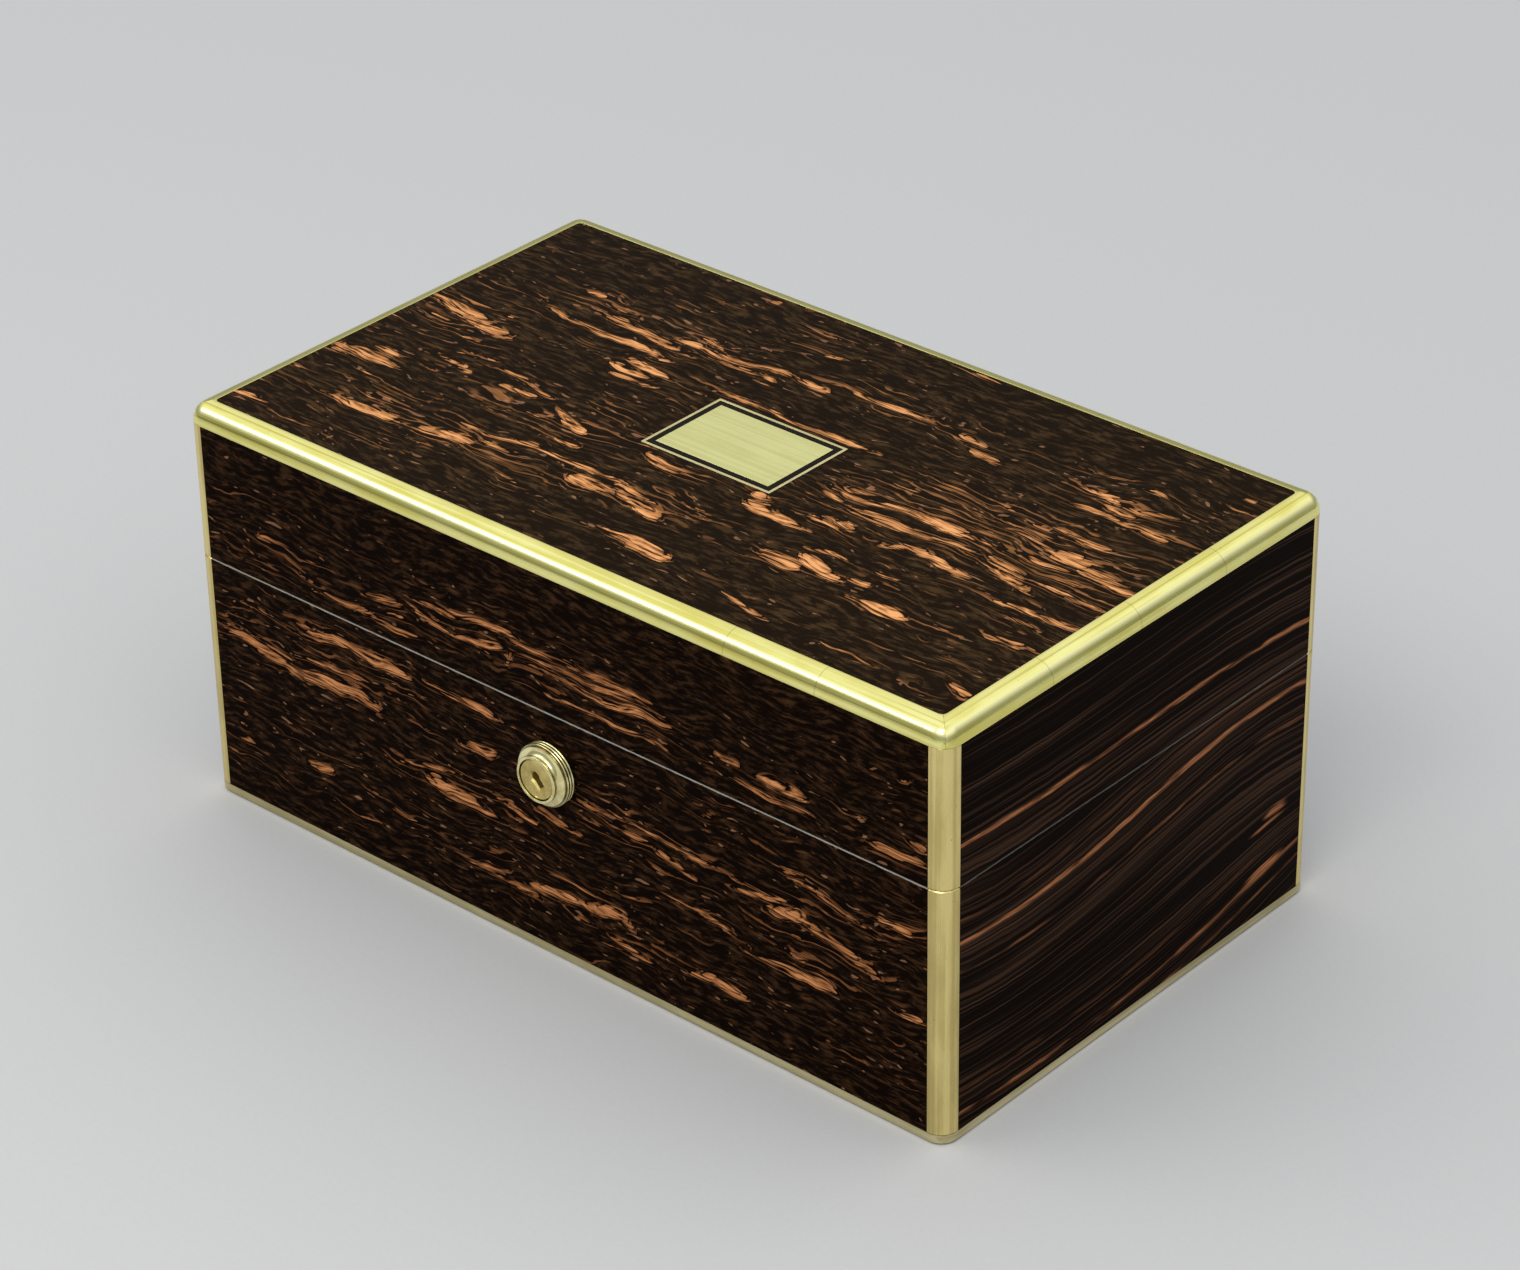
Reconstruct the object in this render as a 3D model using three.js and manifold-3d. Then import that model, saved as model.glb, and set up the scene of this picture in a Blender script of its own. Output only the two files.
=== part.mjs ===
// A travelling jewelry box: veneered boards bound in brass, a lid on two stop hinges,
// a link lock turned through a round nozzle, a lined well and a lift-out tray.
// Millimetres, +Z up, front towards -Y, origin at the middle of the underside.
import * as THREE from "three";
import { RoundedBoxGeometry } from "three/addons/geometries/RoundedBoxGeometry.js";
import { mergeVertices } from "three/addons/utils/BufferGeometryUtils.js";
import Module from "manifold-3d";

// Overall sizes
const width = 305;
const depth = 179;
const height = 141;
const partingHeight = 87.7;
const edgeRadius = 6;

// Fits and clearances
const glueGap = 0.1;
const mitreGap = 0.02;
const seatGap = 0.3;
const partingGap = 0.3;
const runningGap = 0.25;
const overrun = 5;

// Boards, veneers and underside
const boardThickness = 9;
const veneerThickness = 1.2;
const bottomThickness = 6;
const lidTopThickness = 8;
const leatherThickness = 0.8;

// Brass binding
const postLeg = 6.5;
const mouldingWidth = 6.7;
const mouldingHeight = 6.6;
const innerCornerRadius = 1.8;
const edgingHeight = 3.2;
const edgingDepth = 3;
const edgingRounding = 0.8;
const footLift = 0.3;
const rimChamfer = 0.5;

// Cap plate and its two lines
const capWidth = 45.4;
const capDepth = 30;
const ebonyLineWidth = 2;
const brassLineWidth = 1;

// Stop hinges
const hingeInset = 62;
const hingeLength = 48;
const leafDepth = 8;
const leafThickness = 1.6;
const knuckleRadius = 2.4;
const hingePinRadius = 1.1;
const hingeStandOff = 0.2;
const stopReach = 5.4;
const stopBackShare = 0.875;
const lidOpening = 95;
const stopEasing = 0.5;
const knuckleCount = 5;

// Link lock
const lockDrop = 20.5;
const caseWidth = 60;
const caseThickness = 7;
const caseHeight = 31;
const caseFrontSetback = 3.1;
const linkPlateThickness = 1.8;
const lugSpacing = 30;
const lugThickness = 2;
const lugWidth = 4;
const lugDepth = 9;
const eyeDrop = 5.5;
const slotEasing = 0.5;
const boltThickness = 2;
const boltWeb = 1.5;
const fingerHeight = 2.4;
const fingerLength = 5.8;
const fingerStandOff = 0.7;
const upstandWidth = 4;

// Nozzle and barrel
const nozzleRadius = 10.5;
const nozzleProtrusion = 6.4;
const bandShare = 0.5;
const reedCount = 3;
const reedDepth = 0.45;
const barrelRadius = 6.6;
const barrelRecess = 0.3;
const barrelChamfer = 0.25;
const spigotWall = 1.3;
const driverThrow = 3.5;
const driverPinRadius = 0.9;
const keyholeRadius = 1.6;
const keyholeOffset = 0.9;
const keywayWidth = 2.4;
const keywayReach = 2.9;
const keyholeBevel = 0.6;
const keyholeDepth = 5;
const keyholeTurn = 42;
const scoopRadius = 1.3;
const scoopDepth = 0.6;
const scoopPlace = 5.3;
const barrelTurn = 90;

// The nozzle's profile in front of its band, as shares of its radius and its protrusion:
// a groove, a thin collar, a hollow neck and a lip
const nozzleFrontShares = [
  [0.905, 0.515], [0.9, 0.535],
  [0.938, 0.55], [0.943, 0.572], [0.931, 0.594],
  [0.9, 0.602], [0.838, 0.625], [0.781, 0.669], [0.738, 0.727], [0.714, 0.789], [0.71, 0.844],
  [0.726, 0.878], [0.749, 0.906], [0.752, 0.945], [0.745, 0.981], [0.724, 1],
];

// Linings, pads and tray
const liningThickness = 2.6;
const lidLiningThickness = 1.2;
const liningReveal = 0.6;
const ledgeWidth = 4.4;
const wellPadThickness = 3;
const wellPadCrown = 1.5;
const padDrawInShare = 0.5;
const padSwellPower = 4;
const lidPadThickness = 3.5;
const lidPadCrown = 3.5;
const trayClearance = 1;
const trayDrop = 1.5;
const trayHeight = 26;
const trayWall = 4;
const trayFloorThickness = 3;
const dividerThickness = 3.2;
const dividerDrop = 3;
const frontRowDepth = 44;
const ringBayWidth = 132;
const middleBayWidth = 88;
const rollRadius = 4.2;
const rollBaseThickness = 6;
const rollCount = 5;

// Steps of the round shapes
const cornerSteps = 6;
const latheSteps = 40;
const roundSteps = 24;
const scoopSteps = 16;
const reedSteps = 6;
const padStepShares = [16, 10];

// Places that follow from the sizes
const halfWidth = width / 2;
const halfDepth = depth / 2;
const skin = veneerThickness + glueGap;
const wall = skin + boardThickness;
const baseTop = partingHeight - partingGap / 2;
const lidBottom = partingHeight + partingGap / 2;
const edgingTop = footLift + edgingHeight;
const bandBottom = edgingTop + glueGap;
const mouldingBottom = height - mouldingHeight;
const bandTop = mouldingBottom - glueGap;
const bottomBoardBottom = leatherThickness + glueGap;
const bottomBoardTop = bottomBoardBottom + bottomThickness;
const lidBoardTop = height - skin;
const lidBoardBottom = lidBoardTop - lidTopThickness;
const postSeat = postLeg + glueGap;
const mouldingSeat = mouldingWidth + glueGap;
const liningOuterX = halfWidth - wall - glueGap;
const liningOuterY = halfDepth - wall - glueGap;
const trayHalfWidth = liningOuterX - liningThickness - trayClearance;
const trayHalfDepth = liningOuterY - liningThickness - trayClearance;
const trayTop = baseTop - trayDrop;
const trayBottom = trayTop - trayHeight;
const lockHeight = partingHeight - lockDrop;
const boltFront = -halfDepth + caseFrontSetback + caseThickness / 2 - boltThickness / 2;
const hingeY = halfDepth + hingeStandOff + knuckleRadius;
const hingeX = halfWidth - hingeInset;

const wasm = await Module();
wasm.setup();

// Joining and cutting closed geometries

function toSolid(geometry) {
  const bare = geometry.clone();
  bare.deleteAttribute("normal");
  bare.deleteAttribute("uv");
  const merged = mergeVertices(bare);
  const mesh = new wasm.Mesh({
    numProp: 3,
    vertProperties: Float32Array.from(merged.attributes.position.array),
    triVerts: Uint32Array.from(merged.index.array),
  });
  return new wasm.Manifold(mesh);
}

function toGeometry(solid) {
  const mesh = solid.getMesh();
  const geometry = new THREE.BufferGeometry();
  geometry.setAttribute("position", new THREE.BufferAttribute(mesh.vertProperties, mesh.numProp));
  geometry.setIndex(new THREE.BufferAttribute(mesh.triVerts, 1));
  geometry.computeVertexNormals();
  return geometry;
}

function join(first, ...others) {
  const sum = others.reduce((solid, geometry) => solid.add(toSolid(geometry)), toSolid(first));
  return toGeometry(sum);
}

function cut(body, ...cutters) {
  const rest = cutters.reduce((solid, geometry) => solid.subtract(toSolid(geometry)), toSolid(body));
  return toGeometry(rest);
}

function common(first, second) {
  return toGeometry(toSolid(first).intersect(toSolid(second)));
}

// Simple shapes given by where they start and end

function centred(half) {
  return [-half, half];
}

function block([x0, x1], [y0, y1], [z0, z1]) {
  const geometry = new THREE.BoxGeometry(x1 - x0, y1 - y0, z1 - z0);
  return geometry.translate((x0 + x1) / 2, (y0 + y1) / 2, (z0 + z1) / 2);
}

function outline(points) {
  return new THREE.Shape(points.map(([x, y]) => new THREE.Vector2(x, y)));
}

function prism(shape, z0, z1) {
  const geometry = new THREE.ExtrudeGeometry(shape, {
    depth: z1 - z0,
    bevelEnabled: false,
    curveSegments: cornerSteps,
  });
  return geometry.translate(0, 0, z0);
}

// A section drawn as (y, z) and run along X from x0 to x1
function run(section, x0, x1) {
  const geometry = prism(section, x0, x1);
  return geometry.rotateX(Math.PI / 2).rotateZ(Math.PI / 2);
}

// A round bar along Y, or along X, by its centre line
function barAlongY(radius, x, z, y0, y1) {
  const geometry = new THREE.CylinderGeometry(radius, radius, y1 - y0, roundSteps);
  return geometry.translate(x, (y0 + y1) / 2, z);
}

function barAlongX(radius, x0, x1) {
  const geometry = new THREE.CylinderGeometry(radius, radius, x1 - x0, roundSteps);
  return geometry.rotateZ(Math.PI / 2).translate((x0 + x1) / 2, 0, 0);
}

function rectangle(halfX, halfY) {
  return outline([[-halfX, -halfY], [halfX, -halfY], [halfX, halfY], [-halfX, halfY]]);
}

function frameOutline(halfX, halfY, border) {
  const shape = rectangle(halfX, halfY);
  shape.holes.push(rectangle(halfX - border, halfY - border));
  return shape;
}

function roundedRectangle(halfX, halfY, radius) {
  const shape = new THREE.Shape();
  shape.absarc(halfX - radius, -halfY + radius, radius, -Math.PI / 2, 0);
  shape.absarc(halfX - radius, halfY - radius, radius, 0, Math.PI / 2);
  shape.absarc(-halfX + radius, halfY - radius, radius, Math.PI / 2, Math.PI);
  shape.absarc(-halfX + radius, -halfY + radius, radius, Math.PI, Math.PI * 1.5);
  return shape;
}

// A block with rounded upright edges whose top and bottom edges are bevelled alike
function bevelledBlock(halfX, halfY, z0, z1, bevel, bevelSteps) {
  const shape = roundedRectangle(halfX - bevel, halfY - bevel, edgeRadius - bevel);
  const geometry = new THREE.ExtrudeGeometry(shape, {
    depth: z1 - z0 - bevel * 2,
    bevelSize: bevel,
    bevelThickness: bevel,
    bevelSegments: bevelSteps,
    curveSegments: cornerSteps,
  });
  return geometry.translate(0, 0, z0 + bevel);
}

// The outer forms of the box. They are made for one side at a time: half its run along X,
// and the reach from the middle of the box to its outer face.

function lidEnvelope({ halfRun, reach }) {
  return new RoundedBoxGeometry(halfRun * 2, reach * 2, height * 2, cornerSteps / 2, edgeRadius);
}

function baseEnvelope({ halfRun, reach }) {
  return bevelledBlock(halfRun, reach, -overrun, baseTop, rimChamfer, 1);
}

function footEnvelope({ halfRun, reach }) {
  return bevelledBlock(halfRun, reach, footLift, partingHeight, edgingRounding, cornerSteps / 2);
}

// Each side is drawn as the front, with its outer face at y = -reach, and turned into place
const sides = [
  { name: "front", halfRun: halfWidth, reach: halfDepth, turn: 0, long: true },
  { name: "right", halfRun: halfDepth, reach: halfWidth, turn: Math.PI / 2, long: false },
  { name: "back", halfRun: halfWidth, reach: halfDepth, turn: Math.PI, long: true },
  { name: "left", halfRun: halfDepth, reach: halfWidth, turn: -Math.PI / 2, long: false },
];

// Boards

// A long board laps over the ends of the short ones and is rebated for the corner brass
function longBoardOutline({ halfRun, reach }) {
  const end = halfRun - skin;
  const rebate = halfRun - postSeat;
  const outer = -reach + skin;
  const step = -reach + postSeat;
  const inner = -reach + wall;
  return outline([
    [-rebate, outer], [rebate, outer], [rebate, step], [end, step],
    [end, inner], [-end, inner], [-end, step], [-rebate, step],
  ]);
}

function shortBoard({ halfRun, reach }, z0, z1) {
  return block(centred(halfRun - wall - glueGap), [-reach + skin, -reach + wall], [z0, z1]);
}

function board(side, z0, z1) {
  return side.long ? prism(longBoardOutline(side), z0, z1) : shortBoard(side, z0, z1);
}

function veneer({ halfRun, reach }, z0, z1) {
  return block(centred(halfRun - postSeat), [-reach, -reach + veneerThickness], [z0, z1]);
}

// A flat board inside the veneers, with its corners cut out for the corner brass
function notchedOutline() {
  const x = halfWidth - skin;
  const y = halfDepth - skin;
  const notchX = halfWidth - postSeat;
  const notchY = halfDepth - postSeat;
  return outline([
    [-notchX, -y], [notchX, -y], [notchX, -notchY], [x, -notchY],
    [x, notchY], [notchX, notchY], [notchX, y], [-notchX, y],
    [-notchX, notchY], [-x, notchY], [-x, -notchY], [-notchX, -notchY],
  ]);
}

// The bottom board is rebated below for the brass edging
function bottomBoard() {
  const rebate = edgingDepth + glueGap;
  const upper = prism(notchedOutline(), bandBottom, bottomBoardTop);
  const lower = prism(rectangle(halfWidth - rebate, halfDepth - rebate), bottomBoardBottom, bottomBoardTop);
  return join(upper, cut(lower, cornerCutters(bandBottom, height)));
}

// What lies inside the brass moulding of the lid's top
function topPanelOutline() {
  const radius = innerCornerRadius - glueGap;
  return roundedRectangle(halfWidth - mouldingSeat, halfDepth - mouldingSeat, radius);
}

// The lid's top board is rebated above for the brass moulding
function lidTopBoard() {
  const upper = prism(topPanelOutline(), lidBoardBottom, lidBoardTop);
  return join(prism(notchedOutline(), lidBoardBottom, bandTop), upper);
}

function cornerCutters(z0, z1) {
  const x = halfWidth - postSeat;
  const y = halfDepth - postSeat;
  const corners = [[-1, -1], [1, -1], [1, 1], [-1, 1]].map(([sx, sy]) => {
    const xs = [sx * x, sx * (halfWidth + overrun)].sort((a, b) => a - b);
    const ys = [sy * y, sy * (halfDepth + overrun)].sort((a, b) => a - b);
    return block(xs, ys, [z0, z1]);
  });
  return join(...corners);
}

// Brass binding

function cornerPost(envelope, z0, z1) {
  const x = [halfWidth - postLeg, halfWidth + overrun];
  const y = [-halfDepth - overrun, -halfDepth + postLeg];
  return common(block(x, y, [z0, z1]), envelope);
}

// The plan of a bar whose ends are mitred
function mitredOutline({ halfRun, reach }, barWidth) {
  const outerEnd = halfRun + overrun - mitreGap;
  const innerEnd = halfRun - barWidth - mitreGap;
  return outline([
    [-outerEnd, -reach - overrun], [outerEnd, -reach - overrun],
    [innerEnd, -reach + barWidth], [-innerEnd, -reach + barWidth],
  ]);
}

function footEdging(side) {
  return common(prism(mitredOutline(side, edgingDepth), footLift, edgingTop), footEnvelope(side));
}

// The moulding follows the rounded corners of the panel that it frames
function lidMoulding(side) {
  const plan = mitredOutline(side, mouldingWidth + innerCornerRadius);
  const bar = common(prism(plan, mouldingBottom, height + overrun), lidEnvelope(side));
  const { halfRun, reach } = side;
  const panel = roundedRectangle(halfRun - mouldingWidth, reach - mouldingWidth, innerCornerRadius);
  return cut(bar, prism(panel, lidBottom, height + overrun));
}

// Lid top: veneer with the cap plate and its two lines let in flush

const capOuterX = capWidth / 2 + ebonyLineWidth + brassLineWidth + glueGap * 2;
const capOuterY = capDepth / 2 + ebonyLineWidth + brassLineWidth + glueGap * 2;

function lidTopVeneer() {
  const shape = topPanelOutline();
  shape.holes.push(rectangle(capOuterX + glueGap, capOuterY + glueGap));
  return prism(shape, height - veneerThickness, height);
}

function capLine(inset, lineWidth) {
  const plan = frameOutline(capOuterX - inset, capOuterY - inset, lineWidth);
  return prism(plan, height - veneerThickness, height);
}

function capPlate() {
  return block(centred(capWidth / 2), centred(capDepth / 2), [height - veneerThickness, height]);
}

// Stop hinges, drawn about their pin: leaves forward, stops behind

function knuckleSpan(index) {
  const pitch = hingeLength / knuckleCount;
  const start = -hingeLength / 2 + index * pitch;
  return [start + runningGap / 2, start + pitch - runningGap / 2];
}

// A stop is a wedge behind the knuckles. Its working face leans half the opening from level,
// so that the stops of the two leaves meet when the lid stands open.
function stopOutline(innerRadius, up) {
  const face = THREE.MathUtils.degToRad(lidOpening / 2 + stopEasing);
  const back = THREE.MathUtils.degToRad(lidOpening * stopBackShare);
  const middle = (face + back) / 2;
  const at = (radius, angle) => [radius * Math.cos(angle), up * radius * Math.sin(angle)];
  const points = [
    at(innerRadius, face), at(stopReach, face), at(stopReach, middle),
    at(stopReach, back), at(innerRadius, back), at(innerRadius, middle),
  ];
  return outline(up > 0 ? points : points.reverse());
}

function leafOutline(rear, up) {
  const front = -hingeStandOff - knuckleRadius - leafDepth;
  const near = up * partingGap / 2;
  const far = near + up * leafThickness;
  const [low, high] = up > 0 ? [near, far] : [far, near];
  return outline([[front, low], [rear, low], [rear, high], [front, high]]);
}

function hingeLeaf(up, firstKnuckle) {
  const half = hingeLength / 2;
  const plateRear = -knuckleRadius - runningGap;
  const pieces = [
    run(leafOutline(plateRear, up), -half, half),
    run(stopOutline(knuckleRadius + runningGap, up), -half, half),
  ];
  for (let index = firstKnuckle; index < knuckleCount; index += 2) {
    const [x0, x1] = knuckleSpan(index);
    pieces.push(barAlongX(knuckleRadius, x0, x1));
    pieces.push(run(leafOutline(0, up), x0, x1));
    pieces.push(run(stopOutline(hingePinRadius + runningGap * 2, up), x0, x1));
  }
  const bore = barAlongX(hingePinRadius + runningGap, -half - overrun, half + overrun);
  return cut(join(...pieces), bore);
}

function leafMortise(x, z0, z1) {
  const half = hingeLength / 2 + seatGap;
  return block([x - half, x + half], [-halfDepth - overrun, -halfDepth + leafDepth + seatGap], [z0, z1]);
}

function leafMortises(z0, z1) {
  return join(leafMortise(-hingeX, z0, z1), leafMortise(hingeX, z0, z1));
}

// Link lock

const caseFront = -halfDepth + caseFrontSetback;
const caseBack = caseFront + caseThickness;
const caseBottom = baseTop - caseHeight;
const eyeHeight = lidBottom - eyeDrop;
const boltBack = boltFront + boltThickness;
const boltTravel = 2 * driverThrow * Math.sin(THREE.MathUtils.degToRad(barrelTurn / 2));
const driverX = -boltTravel / 2;
const driverRise = driverThrow * Math.cos(THREE.MathUtils.degToRad(barrelTurn / 2));
const slotBottom = lockHeight + driverRise - driverPinRadius - seatGap;
const slotTop = lockHeight + driverThrow + driverPinRadius + seatGap;
const boltBottom = slotBottom - boltWeb;
const barTop = slotTop + boltWeb;
const boltTop = eyeHeight + fingerHeight / 2;
const fingerTips = [-1, 1].map((sign) => sign * lugSpacing / 2 - lugThickness / 2 - fingerStandOff);
const boltLeft = fingerTips[0] - fingerLength - upstandWidth;
const barRight = fingerTips[1] - fingerLength;
const spigotRadius = barrelRadius + seatGap + spigotWall;

function lugSlot(x) {
  const halfX = lugThickness / 2 + slotEasing;
  const halfY = lugWidth / 2 + slotEasing;
  const middle = (boltFront + boltBack) / 2;
  return block([x - halfX, x + halfX], [middle - halfY, middle + halfY],
    [lidBottom - lugDepth - slotEasing, baseTop + overrun]);
}

function lockCase() {
  const body = block(centred(caseWidth / 2), [caseFront, caseBack], [caseBottom, baseTop]);
  const boltPocket = block(
    [boltLeft - seatGap, fingerTips[1] + boltTravel + seatGap],
    [boltFront - seatGap, boltBack + seatGap],
    [boltBottom - seatGap, boltTop + seatGap],
  );
  const barrelBore = barAlongY(barrelRadius + seatGap, 0, lockHeight, caseFront - overrun, boltFront);
  return cut(body, boltPocket, barrelBore, lugSlot(-lugSpacing / 2), lugSlot(lugSpacing / 2));
}

function linkLug(x) {
  const middle = (boltFront + boltBack) / 2;
  const lug = block([x - lugThickness / 2, x + lugThickness / 2], centred(lugWidth / 2),
    [lidBottom - lugDepth, lidBottom + linkPlateThickness / 2]).translate(0, middle, 0);
  const eyeHalf = fingerHeight / 2 + slotEasing;
  const eye = block([x - overrun, x + overrun], [boltFront - seatGap, boltBack + seatGap],
    [eyeHeight - eyeHalf, eyeHeight + eyeHalf]);
  return cut(lug, eye);
}

function linkPlate() {
  const z = [lidBottom, lidBottom + linkPlateThickness];
  const plate = block(centred(caseWidth / 2), [caseFront, caseBack], z);
  return join(plate, linkLug(-lugSpacing / 2), linkLug(lugSpacing / 2));
}

// The bolt is a bar with a slot for the driver pin and two upstands with fingers
function lockBolt() {
  const y = [boltFront, boltBack];
  const bar = block([boltLeft, barRight], y, [boltBottom, barTop]);
  const arms = fingerTips.flatMap((tip) => [
    block([tip - fingerLength - upstandWidth, tip - fingerLength], y, [boltBottom, boltTop]),
    block([tip - fingerLength - upstandWidth / 2, tip], y, [boltTop - fingerHeight, boltTop]),
  ]);
  const slotHalf = driverPinRadius + seatGap;
  const slotX = [driverX - slotHalf, driverX + slotHalf];
  const slot = block(slotX, [boltFront - overrun, boltBack + overrun], [slotBottom, slotTop]);
  return cut(join(bar, ...arms), slot);
}

// The nozzle's band is a row of round reeds. Each point is a radius and a distance from the wood.
function nozzleBand() {
  const pitch = (nozzleProtrusion * bandShare) / reedCount;
  const points = [];
  for (let step = 0; step <= reedCount * reedSteps; step += 1) {
    const reed = Math.floor(step / reedSteps);
    const angle = Math.PI * (step / reedSteps - reed);
    const out = pitch * (reed + (1 - Math.cos(angle)) / 2);
    points.push([nozzleRadius - reedDepth * (1 - Math.sin(angle)), out]);
  }
  return points;
}

// The nozzle is turned, with a bored spigot behind it that passes through the wood
function lockNozzle() {
  const bore = barrelRadius + seatGap;
  const spigotEnd = seatGap - caseFrontSetback;
  const front = nozzleFrontShares.map(([radiusShare, outShare]) => [
    nozzleRadius * radiusShare,
    nozzleProtrusion * outShare,
  ]);
  const profile = [
    [bore, spigotEnd],
    [spigotRadius, spigotEnd],
    [spigotRadius, 0],
    ...nozzleBand(),
    ...front,
    [bore, nozzleProtrusion],
    [bore, spigotEnd],
  ];
  const points = profile.map(([radius, out]) => new THREE.Vector2(radius, -out));
  const geometry = new THREE.LatheGeometry(points.reverse(), latheSteps);
  return geometry.translate(0, -halfDepth, lockHeight);
}

// The keyhole is a round hole with a keyway to one side, drawn facing forward
function keyholeOutline() {
  const half = keywayWidth / 2;
  const open = Math.asin(half / keyholeRadius);
  const shape = new THREE.Shape();
  shape.absarc(0, keyholeOffset, keyholeRadius, -Math.PI / 2 + open, Math.PI * 1.5 - open);
  shape.lineTo(-half, -keywayReach);
  shape.lineTo(half, -keywayReach);
  return shape;
}

// A straight hole whose rim is bevelled
function keyholeCutter() {
  const rim = new THREE.ExtrudeGeometry(keyholeOutline(), {
    depth: overrun,
    bevelSize: keyholeBevel,
    bevelThickness: keyholeBevel,
    bevelSegments: 1,
    curveSegments: cornerSteps,
  });
  const hole = join(prism(keyholeOutline(), -keyholeDepth, overrun), rim);
  return hole.rotateZ(THREE.MathUtils.degToRad(keyholeTurn)).rotateX(Math.PI / 2);
}

// The barrel ends in a driver pin off its axis. Its face has the keyhole and a scoop at the rim.
function lockBarrel() {
  const front = -halfDepth - nozzleProtrusion + barrelRecess;
  const rear = boltFront - seatGap;
  const points = [
    [0, rear], [barrelRadius, rear], [barrelRadius, front + barrelChamfer],
    [barrelRadius - barrelChamfer, front], [0, front],
  ].map(([radius, y]) => new THREE.Vector2(radius, y));
  const turned = new THREE.LatheGeometry(points.reverse(), roundSteps * 2);
  const keyhole = keyholeCutter().translate(0, front, 0);
  const scoop = new THREE.SphereGeometry(scoopRadius, scoopSteps, scoopSteps);
  scoop.translate(0, front - scoopRadius + scoopDepth, -scoopPlace);
  const body = cut(turned, keyhole, scoop).translate(0, 0, lockHeight);
  const driver = barAlongY(driverPinRadius, driverX, lockHeight + driverRise, rear - seatGap, boltBack);
  return join(body, driver);
}

// Cuts for the lock in the front board, its veneer and the lid

function caseMortise() {
  const y = [caseFront - seatGap, -halfDepth + wall + overrun];
  return block(centred(caseWidth / 2 + seatGap), y, [caseBottom - seatGap, baseTop + overrun]);
}

function nozzleHole() {
  return barAlongY(spigotRadius + seatGap, 0, lockHeight, -halfDepth - overrun, caseFront + overrun);
}

function linkMortise() {
  const y = [caseFront - seatGap, -halfDepth + wall + overrun];
  const z = [lidBottom - overrun, lidBottom + linkPlateThickness + seatGap];
  return block(centred(caseWidth / 2 + seatGap), y, z);
}

// Linings and pads

// The lining of the well is stepped, so that its lower part is a ledge for the tray
function wellLining() {
  const foot = bottomBoardTop + glueGap;
  const ledge = liningThickness + ledgeWidth;
  const body = block(centred(liningOuterX), centred(liningOuterY), [foot, baseTop - liningReveal]);
  const trayPocket = block(centred(liningOuterX - liningThickness), centred(liningOuterY - liningThickness),
    [trayBottom - seatGap, baseTop + overrun]);
  const well = block(centred(liningOuterX - ledge), centred(liningOuterY - ledge), [foot - overrun, baseTop]);
  return cut(body, trayPocket, well);
}

function lidLining() {
  const shape = frameOutline(liningOuterX, liningOuterY, lidLiningThickness);
  return prism(shape, lidBottom + liningReveal, lidBoardBottom - glueGap);
}

// A pad on z = 0: its face swells to a crown, and its rim is drawn in a little
function pad(halfX, halfY, thickness, crown) {
  const [stepsX, stepsY] = padStepShares;
  const geometry = new THREE.BoxGeometry(halfX * 2, halfY * 2, thickness, stepsX, stepsY, 2);
  const position = geometry.attributes.position;
  for (let index = 0; index < position.count; index += 1) {
    const u = position.getX(index) / halfX;
    const v = position.getY(index) / halfY;
    const w = position.getZ(index) / thickness + 0.5;
    const swell = (1 - u ** padSwellPower) * (1 - v ** padSwellPower);
    const drawnIn = thickness * padDrawInShare * w * w;
    const rise = w * (thickness + crown * swell);
    position.setXYZ(index, u * (halfX - drawnIn), v * (halfY - drawnIn), rise);
  }
  return geometry;
}

function wellPad() {
  const ledge = liningThickness + ledgeWidth + seatGap;
  return pad(liningOuterX - ledge, liningOuterY - ledge, wellPadThickness, wellPadCrown)
    .translate(0, 0, bottomBoardTop + glueGap);
}

function lidPad() {
  const rim = lidLiningThickness + seatGap;
  return pad(liningOuterX - rim, liningOuterY - rim, lidPadThickness, lidPadCrown)
    .rotateX(Math.PI).translate(0, 0, lidBoardBottom - glueGap);
}

// Lift-out tray

const trayFloorTop = trayBottom + trayFloorThickness;
const bayFloor = trayFloorTop + glueGap;
const trayInnerX = trayHalfWidth - trayWall;
const trayInnerY = trayHalfDepth - trayWall;
const longDividerY = -trayInnerY + frontRowDepth + dividerThickness / 2;

function trayFloor() {
  return prism(rectangle(trayHalfWidth, trayHalfDepth), trayBottom, trayFloorTop);
}

function trayFrame() {
  const bevel = trayWall / 4;
  const plan = frameOutline(trayHalfWidth - bevel, trayHalfDepth - bevel, trayWall - bevel * 2);
  const geometry = new THREE.ExtrudeGeometry(plan, {
    depth: trayTop - bayFloor - bevel * 2,
    bevelSize: bevel,
    bevelThickness: bevel,
    bevelSegments: cornerSteps / 2,
  });
  return geometry.translate(0, 0, bayFloor + bevel);
}

// A divider with a round padded top, its section drawn across its run
function dividerOutline() {
  const half = dividerThickness / 2;
  const top = trayTop - dividerDrop;
  const shape = new THREE.Shape();
  shape.moveTo(-half, bayFloor);
  shape.lineTo(half, bayFloor);
  shape.absarc(0, top - half, half, 0, Math.PI);
  return shape;
}

function crossDivider(x, y0, y1) {
  return run(dividerOutline(), y0, y1).rotateZ(Math.PI / 2).translate(x, 0, 0);
}

function trayDividers() {
  const endX = trayInnerX - seatGap;
  const endY = trayInnerY - seatGap;
  const long = run(dividerOutline(), -endX, endX).translate(0, longDividerY, 0);
  const frontX = (ringBayWidth + dividerThickness) / 2;
  const backX = (middleBayWidth + dividerThickness) / 2;
  const front = [-frontX, frontX].map((x) => crossDivider(x, -endY, longDividerY));
  const back = [-backX, backX].map((x) => crossDivider(x, longDividerY, endY));
  return join(long, ...front, ...back);
}

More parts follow.
